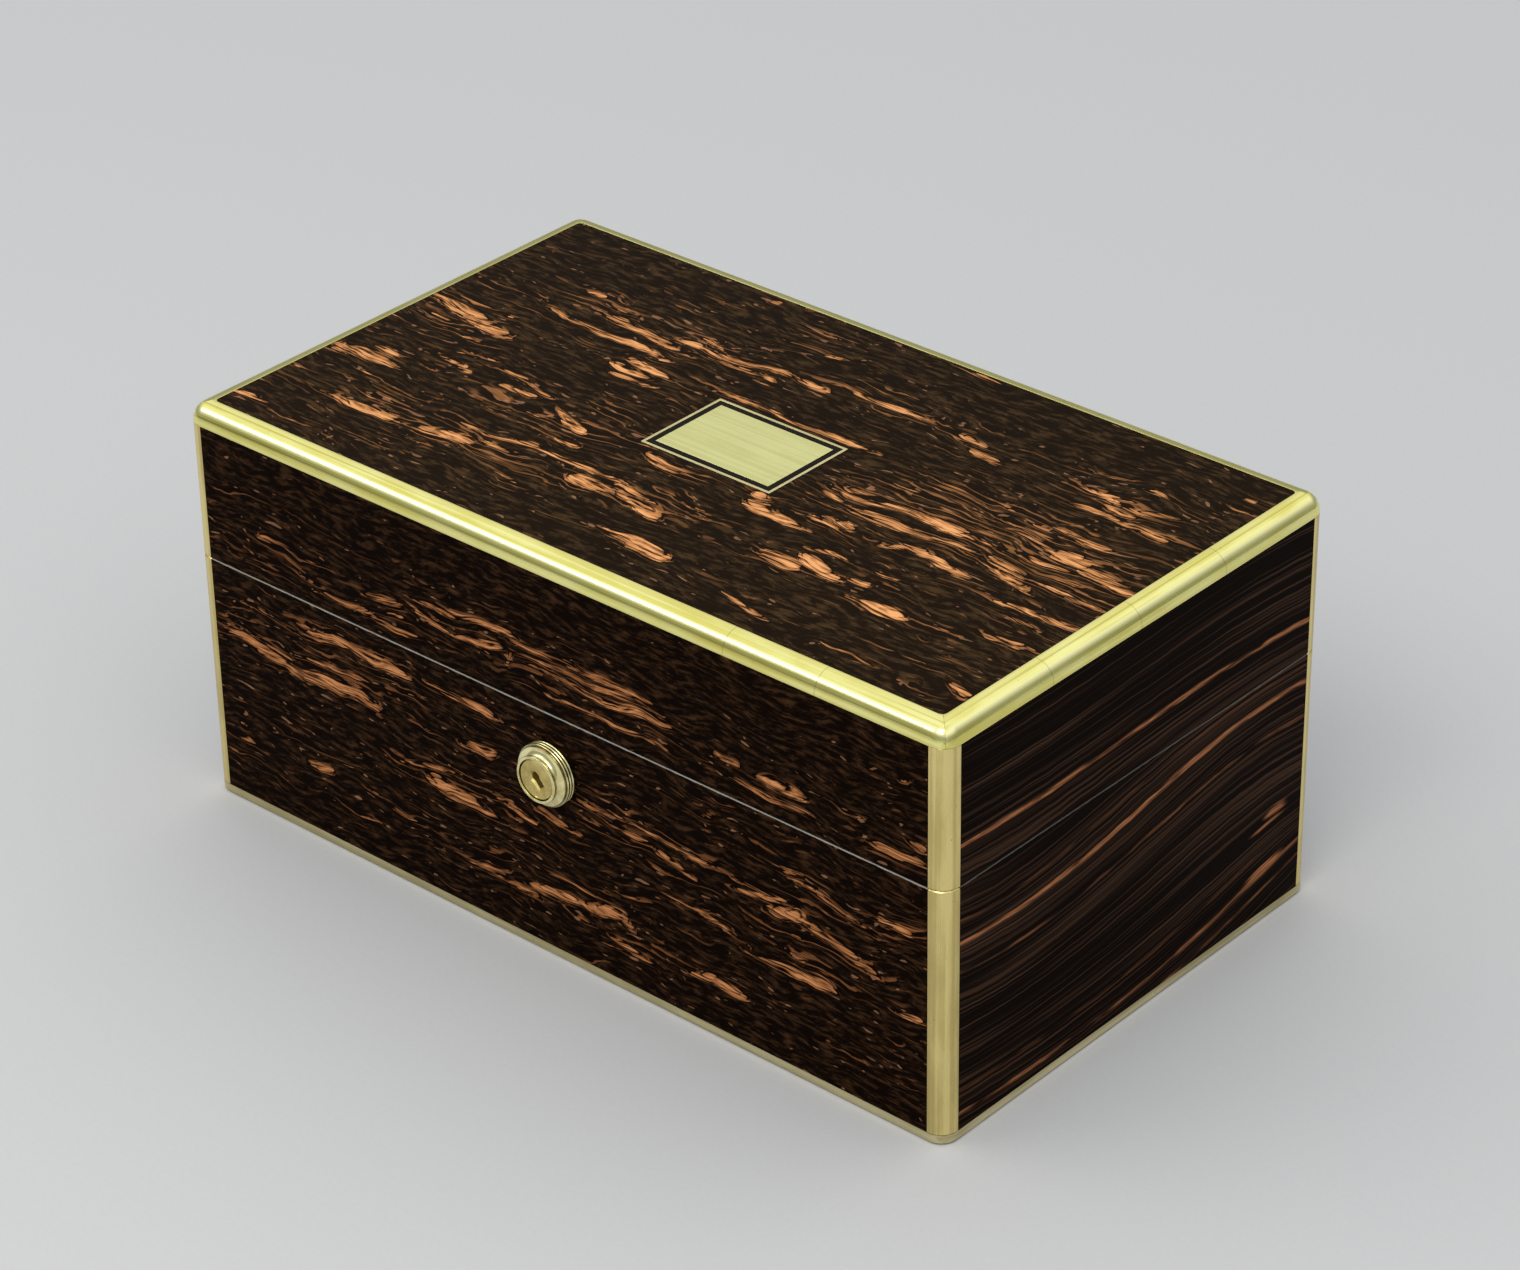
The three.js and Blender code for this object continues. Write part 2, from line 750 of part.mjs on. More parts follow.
// The ring pad is a row of rolls side by side. Rings are held in the grooves between them.
function ringPad() {
  const pitch = (frontRowDepth - seatGap * 2) / rollCount;
  const start = -trayInnerY + seatGap;
  const crease = bayFloor + rollBaseThickness;
  const shape = new THREE.Shape();
  shape.moveTo(start, bayFloor);
  shape.lineTo(start + pitch * rollCount, bayFloor);
  for (let index = rollCount - 1; index >= 0; index -= 1) {
    shape.lineTo(start + pitch * (index + 1), crease);
    shape.absellipse(start + pitch * (index + 0.5), crease, pitch / 2, rollRadius, 0, Math.PI);
  }
  const half = ringBayWidth / 2 - seatGap;
  return run(shape, -half, half);
}

// Finishes

function brass(color = 0xb5a252) {
  return new THREE.MeshStandardMaterial({ color, roughness: 0.32, metalness: 1 });
}

function ebony(color = 0x1c120d) {
  return new THREE.MeshStandardMaterial({ color, roughness: 0.15, metalness: 0 });
}

function mahogany() {
  return new THREE.MeshStandardMaterial({ color: 0x5a2d18, roughness: 0.5, metalness: 0 });
}

function velvet(color = 0x1d2a5c) {
  return new THREE.MeshStandardMaterial({ color, roughness: 0.95, metalness: 0 });
}

function steel() {
  return new THREE.MeshStandardMaterial({ color: 0x8d8d88, roughness: 0.4, metalness: 1 });
}

function leather() {
  return new THREE.MeshStandardMaterial({ color: 0x3a1c16, roughness: 0.8, metalness: 0 });
}

// Assembly: the base, the lid, the lock's two moving pieces and the tray

const jewelryBox = new THREE.Group();
const base = new THREE.Group();
const lid = new THREE.Group();
const tray = new THREE.Group();
jewelryBox.add(base, lid, tray);

function place(group, name, geometry, material, turn = 0) {
  const mesh = new THREE.Mesh(geometry, material);
  mesh.name = name;
  mesh.rotation.z = turn;
  group.add(mesh);
  return mesh;
}

// The front is cut for the lock and the back for the hinge leaves
function cutsFor(side, frontCuts, backCuts) {
  const cuts = { front: frontCuts, back: backCuts };
  return cuts[side.name] ?? [];
}

function baseLeafSeats() {
  return leafMortises(baseTop - leafThickness - seatGap, baseTop + overrun);
}

function lidLeafSeats() {
  return leafMortises(lidBottom - overrun, lidBottom + leafThickness + seatGap);
}

function baseBoard(side) {
  const plain = board(side, bottomBoardTop + glueGap, baseTop);
  return cut(plain, ...cutsFor(side, [caseMortise(), nozzleHole()], [baseLeafSeats()]));
}

function baseVeneer(side) {
  const plain = common(veneer(side, bandBottom, baseTop), baseEnvelope(side));
  return cut(plain, ...cutsFor(side, [nozzleHole()], [baseLeafSeats()]));
}

function lidBoard(side) {
  const plain = board(side, lidBottom, lidBoardBottom - glueGap);
  return cut(plain, ...cutsFor(side, [linkMortise()], [lidLeafSeats()]));
}

function lidVeneer(side) {
  const plain = veneer(side, lidBottom, bandTop);
  return cut(plain, ...cutsFor(side, [], [lidLeafSeats()]));
}

for (const side of sides) {
  place(base, `base_${side.name}_board`, baseBoard(side), mahogany(), side.turn);
  place(base, `base_${side.name}_veneer`, baseVeneer(side), ebony(), side.turn);
  place(base, `base_edging_${side.name}`, footEdging(side), brass(), side.turn);
  place(lid, `lid_${side.name}_board`, lidBoard(side), mahogany(), side.turn);
  place(lid, `lid_${side.name}_veneer`, lidVeneer(side), ebony(), side.turn);
  place(lid, `lid_moulding_${side.name}`, lidMoulding(side), brass(), side.turn);
}

// The corner brass is drawn at the front right corner. Its two legs are alike, so the other
// corners take the same bar, turned about its own corner.
const corners = [
  { name: "front_right", x: 1, y: -1, turn: 0 },
  { name: "back_right", x: 1, y: 1, turn: Math.PI / 2 },
  { name: "back_left", x: -1, y: 1, turn: Math.PI },
  { name: "front_left", x: -1, y: -1, turn: -Math.PI / 2 },
];

function placePost(group, name, corner, geometry) {
  const local = geometry.clone().translate(-halfWidth, halfDepth, 0);
  const mesh = place(group, name, local, brass(), corner.turn);
  mesh.position.set(corner.x * halfWidth, corner.y * halfDepth, 0);
}

const basePost = cornerPost(baseEnvelope(sides[0]), bandBottom, baseTop);
const lidPost = cornerPost(lidEnvelope(sides[0]), lidBottom, bandTop);
for (const corner of corners) {
  placePost(base, `base_corner_${corner.name}`, corner, basePost);
  placePost(lid, `lid_corner_${corner.name}`, corner, lidPost);
}

const leatherInset = edgingDepth + glueGap;
const leatherPlan = rectangle(halfWidth - leatherInset, halfDepth - leatherInset);
const leatherPlate = prism(leatherPlan, 0, leatherThickness);
place(base, "base_underside_leather", leatherPlate, leather());
place(base, "base_bottom_board", bottomBoard(), mahogany());
place(base, "well_lining", wellLining(), velvet());
place(base, "well_floor_pad", wellPad(), velvet());
place(base, "lock_case", lockCase(), brass());
place(base, "lock_nozzle", lockNozzle(), brass(0xcfc27a));
place(base, "lock_barrel", lockBarrel(), brass(0xa99a62));
place(base, "lock_bolt", lockBolt(), steel());

for (const [name, sign] of [["left", -1], ["right", 1]]) {
  const lower = place(base, `hinge_${name}_base_leaf`, hingeLeaf(-1, 0), brass());
  const upper = place(lid, `hinge_${name}_lid_leaf`, hingeLeaf(1, 1), brass());
  const wire = barAlongX(hingePinRadius, ...centred(hingeLength / 2));
  const pin = place(base, `hinge_${name}_pin`, wire, steel());
  for (const mesh of [lower, upper, pin]) {
    mesh.position.set(sign * hingeX, hingeY, partingHeight);
  }
}

place(lid, "lid_top_board", lidTopBoard(), mahogany());
place(lid, "lid_top_veneer", lidTopVeneer(), ebony());
place(lid, "cap_plate", capPlate(), brass(0xc8cd78));
place(lid, "cap_plate_ebony_line", capLine(brassLineWidth + glueGap, ebonyLineWidth), ebony(0x100a08));
place(lid, "cap_plate_brass_line", capLine(0, brassLineWidth), brass());
place(lid, "lock_link_plate", linkPlate(), brass());
place(lid, "lid_lining", lidLining(), velvet());
place(lid, "lid_lining_pad", lidPad(), velvet(0x27397a));

place(tray, "tray_floor", trayFloor(), velvet());
place(tray, "tray_frame", trayFrame(), velvet());
place(tray, "tray_dividers", trayDividers(), velvet());
place(tray, "ring_pad", ringPad(), velvet(0x27397a));

export default jewelryBox;
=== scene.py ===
# %% [markdown]
# # A travelling jewelry box
# The box is veneered in figured ebony, bound at its edges in brass and lined in velvet. Its shape,
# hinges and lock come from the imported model, and this lesson dresses that model: it gives each
# surface its finish, softens the edges, and makes the padded and woven pieces by hand.

import math

import bmesh
import bpy
from mathutils import Matrix, Vector


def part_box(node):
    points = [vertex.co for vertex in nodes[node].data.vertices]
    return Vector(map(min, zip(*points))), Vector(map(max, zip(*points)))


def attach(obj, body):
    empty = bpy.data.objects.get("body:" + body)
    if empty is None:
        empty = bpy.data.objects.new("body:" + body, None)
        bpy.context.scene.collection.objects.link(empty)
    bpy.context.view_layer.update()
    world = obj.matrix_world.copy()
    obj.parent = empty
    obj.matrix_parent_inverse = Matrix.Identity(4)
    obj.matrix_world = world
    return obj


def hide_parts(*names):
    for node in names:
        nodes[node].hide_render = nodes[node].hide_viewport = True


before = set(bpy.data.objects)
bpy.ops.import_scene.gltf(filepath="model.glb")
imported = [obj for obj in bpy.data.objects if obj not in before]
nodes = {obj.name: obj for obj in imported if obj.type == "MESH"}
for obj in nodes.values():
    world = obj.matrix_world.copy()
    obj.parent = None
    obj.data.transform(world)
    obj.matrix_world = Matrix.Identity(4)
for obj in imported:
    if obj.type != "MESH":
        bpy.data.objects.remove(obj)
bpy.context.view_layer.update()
mm = 0.001


def put(name, data):
    """Puts a new object in the scene."""
    made = bpy.data.objects.new(name, data)
    bpy.context.scene.collection.objects.link(made)
    return made


print("pieces in the frame:", len(nodes))

# %% [markdown]
# ## The camera
# A photograph is easiest to match when the camera stands where the photographer stood. Its place,
# its line of sight and its slight roll were found from the box's own corners, so they are plain
# values here. A long lens from more than a metre away keeps the sides nearly parallel.

# %% Place the camera
image_width = 1520
camera_place = Vector((0.8356, -0.9302, 0.8103))
line_of_sight = Vector((-0.5739, 0.6428, -0.5074))
camera_roll = math.radians(-0.98)
focal_pixels = 4673.3
sensor_width = 36

camera_data = bpy.data.cameras.new("camera")
camera_data.sensor_width = sensor_width
camera_data.lens = sensor_width * focal_pixels / image_width
camera = put("camera", camera_data)
upright = line_of_sight.to_track_quat("-Z", "Y").to_matrix()
rolled = upright @ Matrix.Rotation(camera_roll, 3, "Z")
camera.matrix_world = Matrix.Translation(camera_place) @ rolled.to_4x4()
bpy.context.scene.camera = camera
bpy.context.scene.view_settings.view_transform = "Standard"
print("lens in mm:", round(camera_data.lens, 1))

# %% [markdown]
# ## Shader sums
# A finish is a sum of patterns: a little of this noise, where that mask is high. Such sums are
# unreadable as a row of node calls, so a small class wraps a node's socket and lets Python's own
# signs add the Math nodes. Any other node comes from one method, which takes the node's type, its
# settings and what goes into its sockets.

# %% A socket that can be used in sums
class Value:
    def __init__(self, shader, socket):
        self.shader = shader
        self.socket = socket

    def math(self, operation, *others):
        inputs = dict(enumerate((self, *others)))
        return self.shader.node("Math", {"operation": operation}, inputs)

    def output(self, name):
        return Value(self.shader, self.socket.node.outputs[name])

    def __add__(self, other):
        return self.math("ADD", other)

    def __sub__(self, other):
        return self.math("SUBTRACT", other)

    def __rsub__(self, other):
        return (self * -1) + other

    def __mul__(self, other):
        return self.math("MULTIPLY", other)

    def __truediv__(self, other):
        return self.math("DIVIDE", other)

    __radd__ = __add__
    __rmul__ = __mul__

    def step(self, low, high):
        """Goes smoothly from 0 at low to 1 at high, also where high is the smaller number."""
        inputs = {"Value": self, "From Min": low, "From Max": high}
        return self.shader.node("MapRange", {"interpolation_type": "SMOOTHSTEP"}, inputs)

    def ridge(self, middle, half_width):
        """1 near one value and 0 away from it."""
        return (self - middle).math("ABSOLUTE").step(half_width, half_width * 0.3)

    def blend(self, first, second):
        """The first colour where this value is 0, and the second where it is 1."""
        mixer = self.shader.node("Mix", {"data_type": "RGBA"}, {"Factor": self})
        for name, tone in (("A", first), ("B", second)):
            socket = next(s for s in mixer.socket.node.inputs if s.name == name and s.type == "RGBA")
            if isinstance(tone, Value):
                self.shader.tree.links.new(tone.socket, socket)
            else:
                socket.default_value = opaque(tone)
        return mixer


# %% A shader that is built from sums
def opaque(tone):
    """A colour with the fourth number that sockets ask for."""
    return (*tone, 1)


def set_stops(ramp, stops):
    while len(ramp.elements) < len(stops):
        ramp.elements.new(1)
    for element, (position, tone) in zip(ramp.elements, stops):
        element.position = position
        element.color = opaque(tone)


class Shader:
    def __init__(self, name):
        self.name = name
        self.material = bpy.data.materials.new(name)
        self.material.use_nodes = True
        self.tree = self.material.node_tree
        self.tree.nodes.clear()
        metres = self.node("TexCoord").output("Object")
        inputs = {0: metres, "Scale": 1 / mm}
        self.place = self.node("VectorMath", {"operation": "SCALE"}, inputs)
        parts = self.node("SeparateXYZ", {}, {0: self.place})
        self.x, self.y, self.z = (parts.output(axis) for axis in "XYZ")

    def node(self, kind, settings=None, inputs=None):
        made = self.tree.nodes.new("ShaderNode" + kind)
        for key, value in (settings or {}).items():
            if key == "stops":
                set_stops(made.color_ramp, value)
            else:
                setattr(made, key, value)
        for key, value in (inputs or {}).items():
            if isinstance(value, Value):
                self.tree.links.new(value.socket, made.inputs[key])
            else:
                made.inputs[key].default_value = value
        return Value(self, next(socket for socket in made.outputs if socket.enabled))

    def vector(self, x, y, z):
        return self.node("CombineXYZ", {}, {0: x, 1: y, 2: z})

    def noise(self, vector, scale=1, detail=2, roughness=0.5, distortion=0):
        inputs = {"Vector": vector, "Scale": scale, "Detail": detail,
                  "Roughness": roughness, "Distortion": distortion}
        return self.node("TexNoise", {"noise_dimensions": "3D"}, inputs).output("Fac")

    def long_noise(self, along, across, length, width, shift, *rest):
        """Noise whose patches have a length along the grain and a width across it."""
        return self.noise(self.vector(along / length, across / width, shift), 1, *rest)

    def cells(self, vector, scale):
        inputs = {"Vector": vector, "Scale": scale}
        return self.node("TexVoronoi", {"feature": "F1"}, inputs).output("Distance")

    def ramp(self, value, stops):
        return self.node("ValToRGB", {"stops": stops}, {"Fac": value})

    def bump(self, height, strength, distance):
        inputs = {"Height": height, "Strength": strength, "Distance": distance * mm}
        return self.node("Bump", {}, inputs)

    def finish(self, **sockets):
        inputs = {key.replace("_", " "): value for key, value in sockets.items()}
        surface = self.node("BsdfPrincipled", {}, inputs)
        output = self.tree.nodes.new("ShaderNodeOutputMaterial")
        self.tree.links.new(surface.socket, output.inputs["Surface"])
        finishes[self.name] = self.material


# Every finish that is made below is kept here.
finishes = {}
print("ready to mix finishes")

# %% [markdown]
# ## Floor and light
# A plain pale floor keeps the eye on the box, and polished veneer and brass both live from what
# they mirror. So the light is large and soft: one wide lamp before the box and above it, and a world
# that is brighter above than at the horizon. On the left hangs a narrow strip. The round edge of the
# front moulding mirrors it, and that draws a bright line along the edge.

# %% Lay the floor
floor_half = 3.0
floor_shade = (0.60, 0.60, 0.61)
floor_mesh = bpy.data.meshes.new("floor")
floor_mesh.from_pydata([(-floor_half, -floor_half, 0), (floor_half, -floor_half, 0),
                        (floor_half, floor_half, 0), (-floor_half, floor_half, 0)], [], [(0, 1, 2, 3)])
floor = put("floor", floor_mesh)
shader = Shader("floor_paper")
grain = shader.noise(shader.place, 0.6, 3)
shader.finish(
    Base_Color=grain.blend([c * 0.97 for c in floor_shade], [c * 1.03 for c in floor_shade]),
    Roughness=0.9,
)
floor_mesh.materials.append(finishes["floor_paper"])
print("floor laid")


# %% Hang the lamps
def lamp(name, place, size, power, tint):
    data = bpy.data.lights.new(name, "AREA")
    data.shape = "RECTANGLE"
    data.size, data.size_y = size
    data.energy = power
    data.color = tint
    made = put(name, data)
    made.location = place
    made.rotation_euler = (box_middle - Vector(place)).to_track_quat("-Z", "Y").to_euler()


box_middle = Vector((0, 0, 0.07))
lamp("key", (0.35, -1.0, 1.3), (0.8, 0.6), 6.5, (1.0, 0.99, 0.96))
lamp("left_strip", (-0.95, -0.86, 1.08), (1.0, 0.3), 2.0, (1.0, 0.985, 0.93))

sky_stops = [(0.0, (0.30, 0.31, 0.30)), (0.30, (0.36, 0.37, 0.36)), (0.48, (0.66, 0.67, 0.66)),
             (0.64, (0.98, 0.99, 0.98)), (1.0, (0.96, 0.98, 1.0))]
world = bpy.data.worlds.new("studio")
bpy.context.scene.world = world
world.use_nodes = True
tree = world.node_tree
tree.nodes.clear()
direction, split, sky, background, world_output = (
    tree.nodes.new("ShaderNode" + kind)
    for kind in ("TexCoord", "SeparateXYZ", "ValToRGB", "Background", "OutputWorld"))
set_stops(sky.color_ramp, sky_stops)
for source, target in (
    (direction.outputs["Generated"], split.inputs[0]), (split.outputs["Z"], sky.inputs["Fac"]),
    (sky.outputs["Color"], background.inputs["Color"]),
    (background.outputs["Background"], world_output.inputs["Surface"]),
):
    tree.links.new(source, target)
print("lamps hung")

# %% [markdown]
# ## Figured ebony
# The front, back and top are cut from a log whose dark heartwood is shot through with orange
# sapwood. Along the grain the orange lies in flames: thin at the tail and blunt at the head, with
# fine lines that run with the grain and bend round them, like the lines on a map of hills. So the
# finish is a map of heights. Each large flame is a hill with one long and one short slope, laid
# where it lies on the real veneer, and noise that is stretched along the grain roughens them all.
# Orange shows above a certain height, and the fine lines are waves whose phase the height shifts.

# %% Lay the flames
head_share = 0.25  # where a flame's top lies, as a share of its length from the head
head_blunt = 3.0  # how much steeper the slope to the head is
flame_peak = 0.30
flame_level = 0.12  # orange shows above this height


def reach(shader, across, start, turn, size):
    """How far a point lies from a start in one direction, as a share of a size."""
    ux, uy = math.cos(turn) / size, math.sin(turn) / size
    part = shader.x.math("MULTIPLY_ADD", ux, -start.x * ux - start.y * uy)
    return across.math("MULTIPLY_ADD", uy, part)


def hill(shader, across, middle, turn, half_length, half_width, peak, blunt=1.0):
    """A hill that is longer on one side of its top than on the other."""
    along = reach(shader, across, middle, turn, half_length)
    off = reach(shader, across, middle, turn + math.pi / 2, half_width)
    along = along.math("MAXIMUM", along * -blunt)
    return along.math("MULTIPLY_ADD", along, off * off).math("MULTIPLY_ADD", -peak, peak)


def flame_heights(shader, across, flames):
    """The hills of the large flames, each given as tail, head, thickness and strength."""
    total = shader.x * 0
    for tail_x, tail, head_x, head, thick, strength in flames:
        span = Vector((tail_x - head_x, tail - head))
        shown = math.sqrt(1 - flame_level / flame_peak / strength)
        half_length = span.length * (1 - head_share) / shown
        middle = Vector((head_x, head)) + span * head_share
        turn = math.atan2(span.y, span.x)
        size = (half_length, thick / 2 / shown, strength * flame_peak, head_blunt)
        total = total.math("MAXIMUM", hill(shader, across, middle, turn, *size))
    return total


def cluster_heights(shader, across, clusters):
    """Wide low rises and dips: where the figure crowds and where it is quiet."""
    total = shader.x * 0
    for x, place, half_length, half_width, peak in clusters:
        rise = hill(shader, across, Vector((x, place)), 0, half_length, half_width, abs(peak))
        total = rise.math("MAXIMUM", 0).math("MULTIPLY_ADD", math.copysign(1, peak), total)
    return total


# %% Make figured ebony
fleck_wood = (0.42, 0.205, 0.105)
# A pale grey tone for the painted highlight along the rim of the base.
parting_highlight_tone = (0.42, 0.39, 0.34)
polish_roughness = 0.10
whole_turn = 2 * math.pi
parting_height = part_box("base_front_veneer")[1].z / mm
highlight_below = 0.15


def parting_highlight(shader):
    """A thin pale line along the rim of the base: a painted highlight where its edge catches the light."""
    off = (shader.z - (parting_height - highlight_below)).math("ABSOLUTE")
    line_breaks = shader.noise(shader.place, 0.35, 2)
    return (off + line_breaks * 0.2).step(0.38, 0.20)


def polished(shader, tone, fibre, polish, tint):
    """Wood under a film of polish that isn't quite flat."""
    ripple = shader.noise(shader.place, 0.035, 1)
    shader.finish(
        Base_Color=tone,
        Roughness=polish_roughness + fibre * 0.05,
        Normal=shader.bump(ripple, 0.10, 0.25),
        Specular_IOR_Level=polish,
        Specular_Tint=opaque(tint),
        IOR=1.5,
    )


def figured_ebony(name, shift, flames, clusters, tones, polish, tint):
    black, brown, dull, bright, pale = tones
    shader = Shader(name)
    across = shader.y + shader.z
    # The grain waves slowly and quickly, and what lies along it leans to and fro.
    slow = shader.long_noise(shader.x, across, 85, 50, shift) - 0.5
    quick = shader.long_noise(shader.x, across, 24, 15, shift + 3) - 0.5
    grain = across + slow * 14 + quick * 7
    lean = shader.long_noise(shader.x, grain, 22, 9, shift + 5, 0) - 0.5
    along = shader.x + lean * 22
    # The map of heights: the laid flames, or small ones from noise where those are higher.
    field = shader.long_noise(along, grain, 25, 4.4, shift, 1.5, 0.5, 0.4) - 0.5
    lace = shader.long_noise(along, grain, 6, 1.2, shift + 17) - 0.5
    crowd = cluster_heights(shader, across, clusters)
    laid = flame_heights(shader, across + quick * 6 + lean * 3 + lace * 0.5, flames) + field * 0.35
    height = laid.math("MAXIMUM", field * 0.62 + crowd * 0.8 - 0.012) + lace * 0.12
    # Fine lines that bend round the heights: dark cuts in the flames, bright lines beside them.
    wave = ((grain / 3.1 + height * 5 + quick) * whole_turn).math("SINE")
    cuts = wave.step(-0.55, -0.96)
    flame = (height - cuts * 0.035).step(flame_level - 0.008, flame_level + 0.010)
    halo = height.step(0.03, 0.09) * (1 - flame)
    near = (height + crowd).step(0.02, 0.11)
    lines = wave.step(0.66, 0.95) * near * (1 - flame)
    # The ground between them: flecks, short streaks and a brown haze.
    fleck_field = shader.long_noise(along, grain, 5.2, 1.7, shift + 20, 1, 0.5, 0.3)
    flecks = (fleck_field + crowd * 0.5).step(0.695, 0.735)
    streak_field = shader.long_noise(along, grain, 13, 1.5, shift + 27, 1.5, 0.5, 0.2)
    streaks = (streak_field + crowd * 0.8).step(0.66, 0.69)
    fibre = shader.long_noise(shader.x, grain, 16, 0.5, shift + 31)
    smoke = shader.long_noise(shader.x, grain, 7, 1.7, shift + 43, 4, 0.65)
    haze = (smoke + lace * 0.3).step(0.44, 0.72) * (1 - halo)
    ground = haze.blend(black, brown)
    ground = (streaks * (0.10 + smoke * 0.9) * (1 - halo)).blend(ground, dull)
    ground = (flecks * (0.05 + smoke * 0.9)).blend(ground, fleck_wood)
    ground = (lines * (0.10 + fibre * 0.6)).blend(ground, bright)
    # Inside a flame the wood pales towards the top of the hill.
    glow = (height - flame_level) * 2.8 + lace * 1.6 + (fibre - 0.5) * 2.2 + 0.22 - cuts * 0.45
    inside = shader.ramp(glow, [(0.0, black), (0.22, dull), (0.60, bright), (1.0, pale)])
    # The pale line along the rim of the base is a painted highlight.
    tone = parting_highlight(shader).blend(flame.blend(ground, inside), parting_highlight_tone)
    polished(shader, tone, fibre, polish, tint)


# %% Lay out the leaves of veneer
# A flame is written as the x and height of its tail and of its head, its thickness and strength.
# On the top, the place from front to back stands for the height.
front_flames = [
    (-146, 65, -110, 61, 3.2, 0.8), (-122, 60.5, -70, 60.8, 5.2, 1.1),
    (-140, 68, -112.5, 64.6, 1.8, 0.7), (-120, 67, -78, 68.5, 2.2, 0.7),
    (-110, 75, -84, 78.5, 3.8, 0.9), (-86, 78.5, -58, 76.7, 4.4, 1), (-54, 79, -20, 77.8, 3.8, 0.9),
    (-39, 63, -21.7, 63.2, 4.2, 1.1), (-23, 41, -54, 44.5, 4.6, 1), (-61.7, 46, -41.5, 50, 2.4, 0.8),
    (-23, 48.5, -6, 45.6, 3, 0.8), (12, 50, -8, 52, 3, 0.8), (-41.5, 21, -18, 22.5, 3, 0.8),
    (-10, 21, 12, 23.8, 4, 1), (8, 23, 30, 28.2, 4.2, 1.1), (34, 21.5, 27, 28, 3.2, 1),
    (4.5, 19, 17, 19, 2.2, 0.7), (38, 14.6, 22, 18.5, 2.4, 0.8), (-18, 18.7, -6, 18, 2.4, 0.7),
    (-106, 29, -96, 29, 3.6, 0.7), (-57, 105.6, -36, 107.6, 1.8, 0.75),
    (-42, 108.6, -12, 109.8, 2.4, 0.85), (-12, 108.4, 42, 107, 2.0, 0.8),
    (-57, 102.5, -38, 99.4, 2.4, 0.85), (-40, 99.5, -17, 104.5, 2.6, 1), (-16.5, 98, -14, 105, 2, 0.7),
    (-16, 105.5, 43, 104.2, 1.5, 0.72), (-10, 101.7, 50, 101.2, 2.6, 0.95),
    (-10, 93.5, 54, 94.5, 1.8, 0.7), (-76, 101, -60, 100, 3, 0.7), (-97, 96, -54, 92.4, 2.4, 0.7),
    (67, 101, 76, 101, 2.6, 0.7), (84, 100, 102.4, 100, 4, 1), (73, 95, 103, 94.6, 2.4, 0.7),
    (145, 93.5, 124, 94.2, 2.8, 0.8), (138, 100, 146, 100, 3.6, 0.8), (11, 63, 63, 60.8, 1.6, 0.7),
    (11, 60.6, 40, 58, 2, 0.7), (58, 54, 42, 56.6, 2.4, 0.8), (66, 56.6, 92, 60.2, 1.6, 0.7),
    (84, 54.6, 101, 58, 4.2, 1.1), (127, 50, 99, 57, 3.6, 1), (93, 68, 106, 69, 3, 0.9),
    (124, 63.8, 104, 68.5, 2.8, 0.8), (124, 71, 140, 69.4, 1.8, 0.7), (133, 41, 145.6, 41, 2.8, 0.8),
    (50, 42, 76, 40.4, 1.8, 0.7), (80, 37, 112, 36.2, 3.2, 0.9), (93, 40.5, 111, 38, 1.8, 0.7),
    (54.5, 18.7, 66, 21.6, 3.2, 1), (60, 21.5, 78, 17.9, 4, 1.1),
]
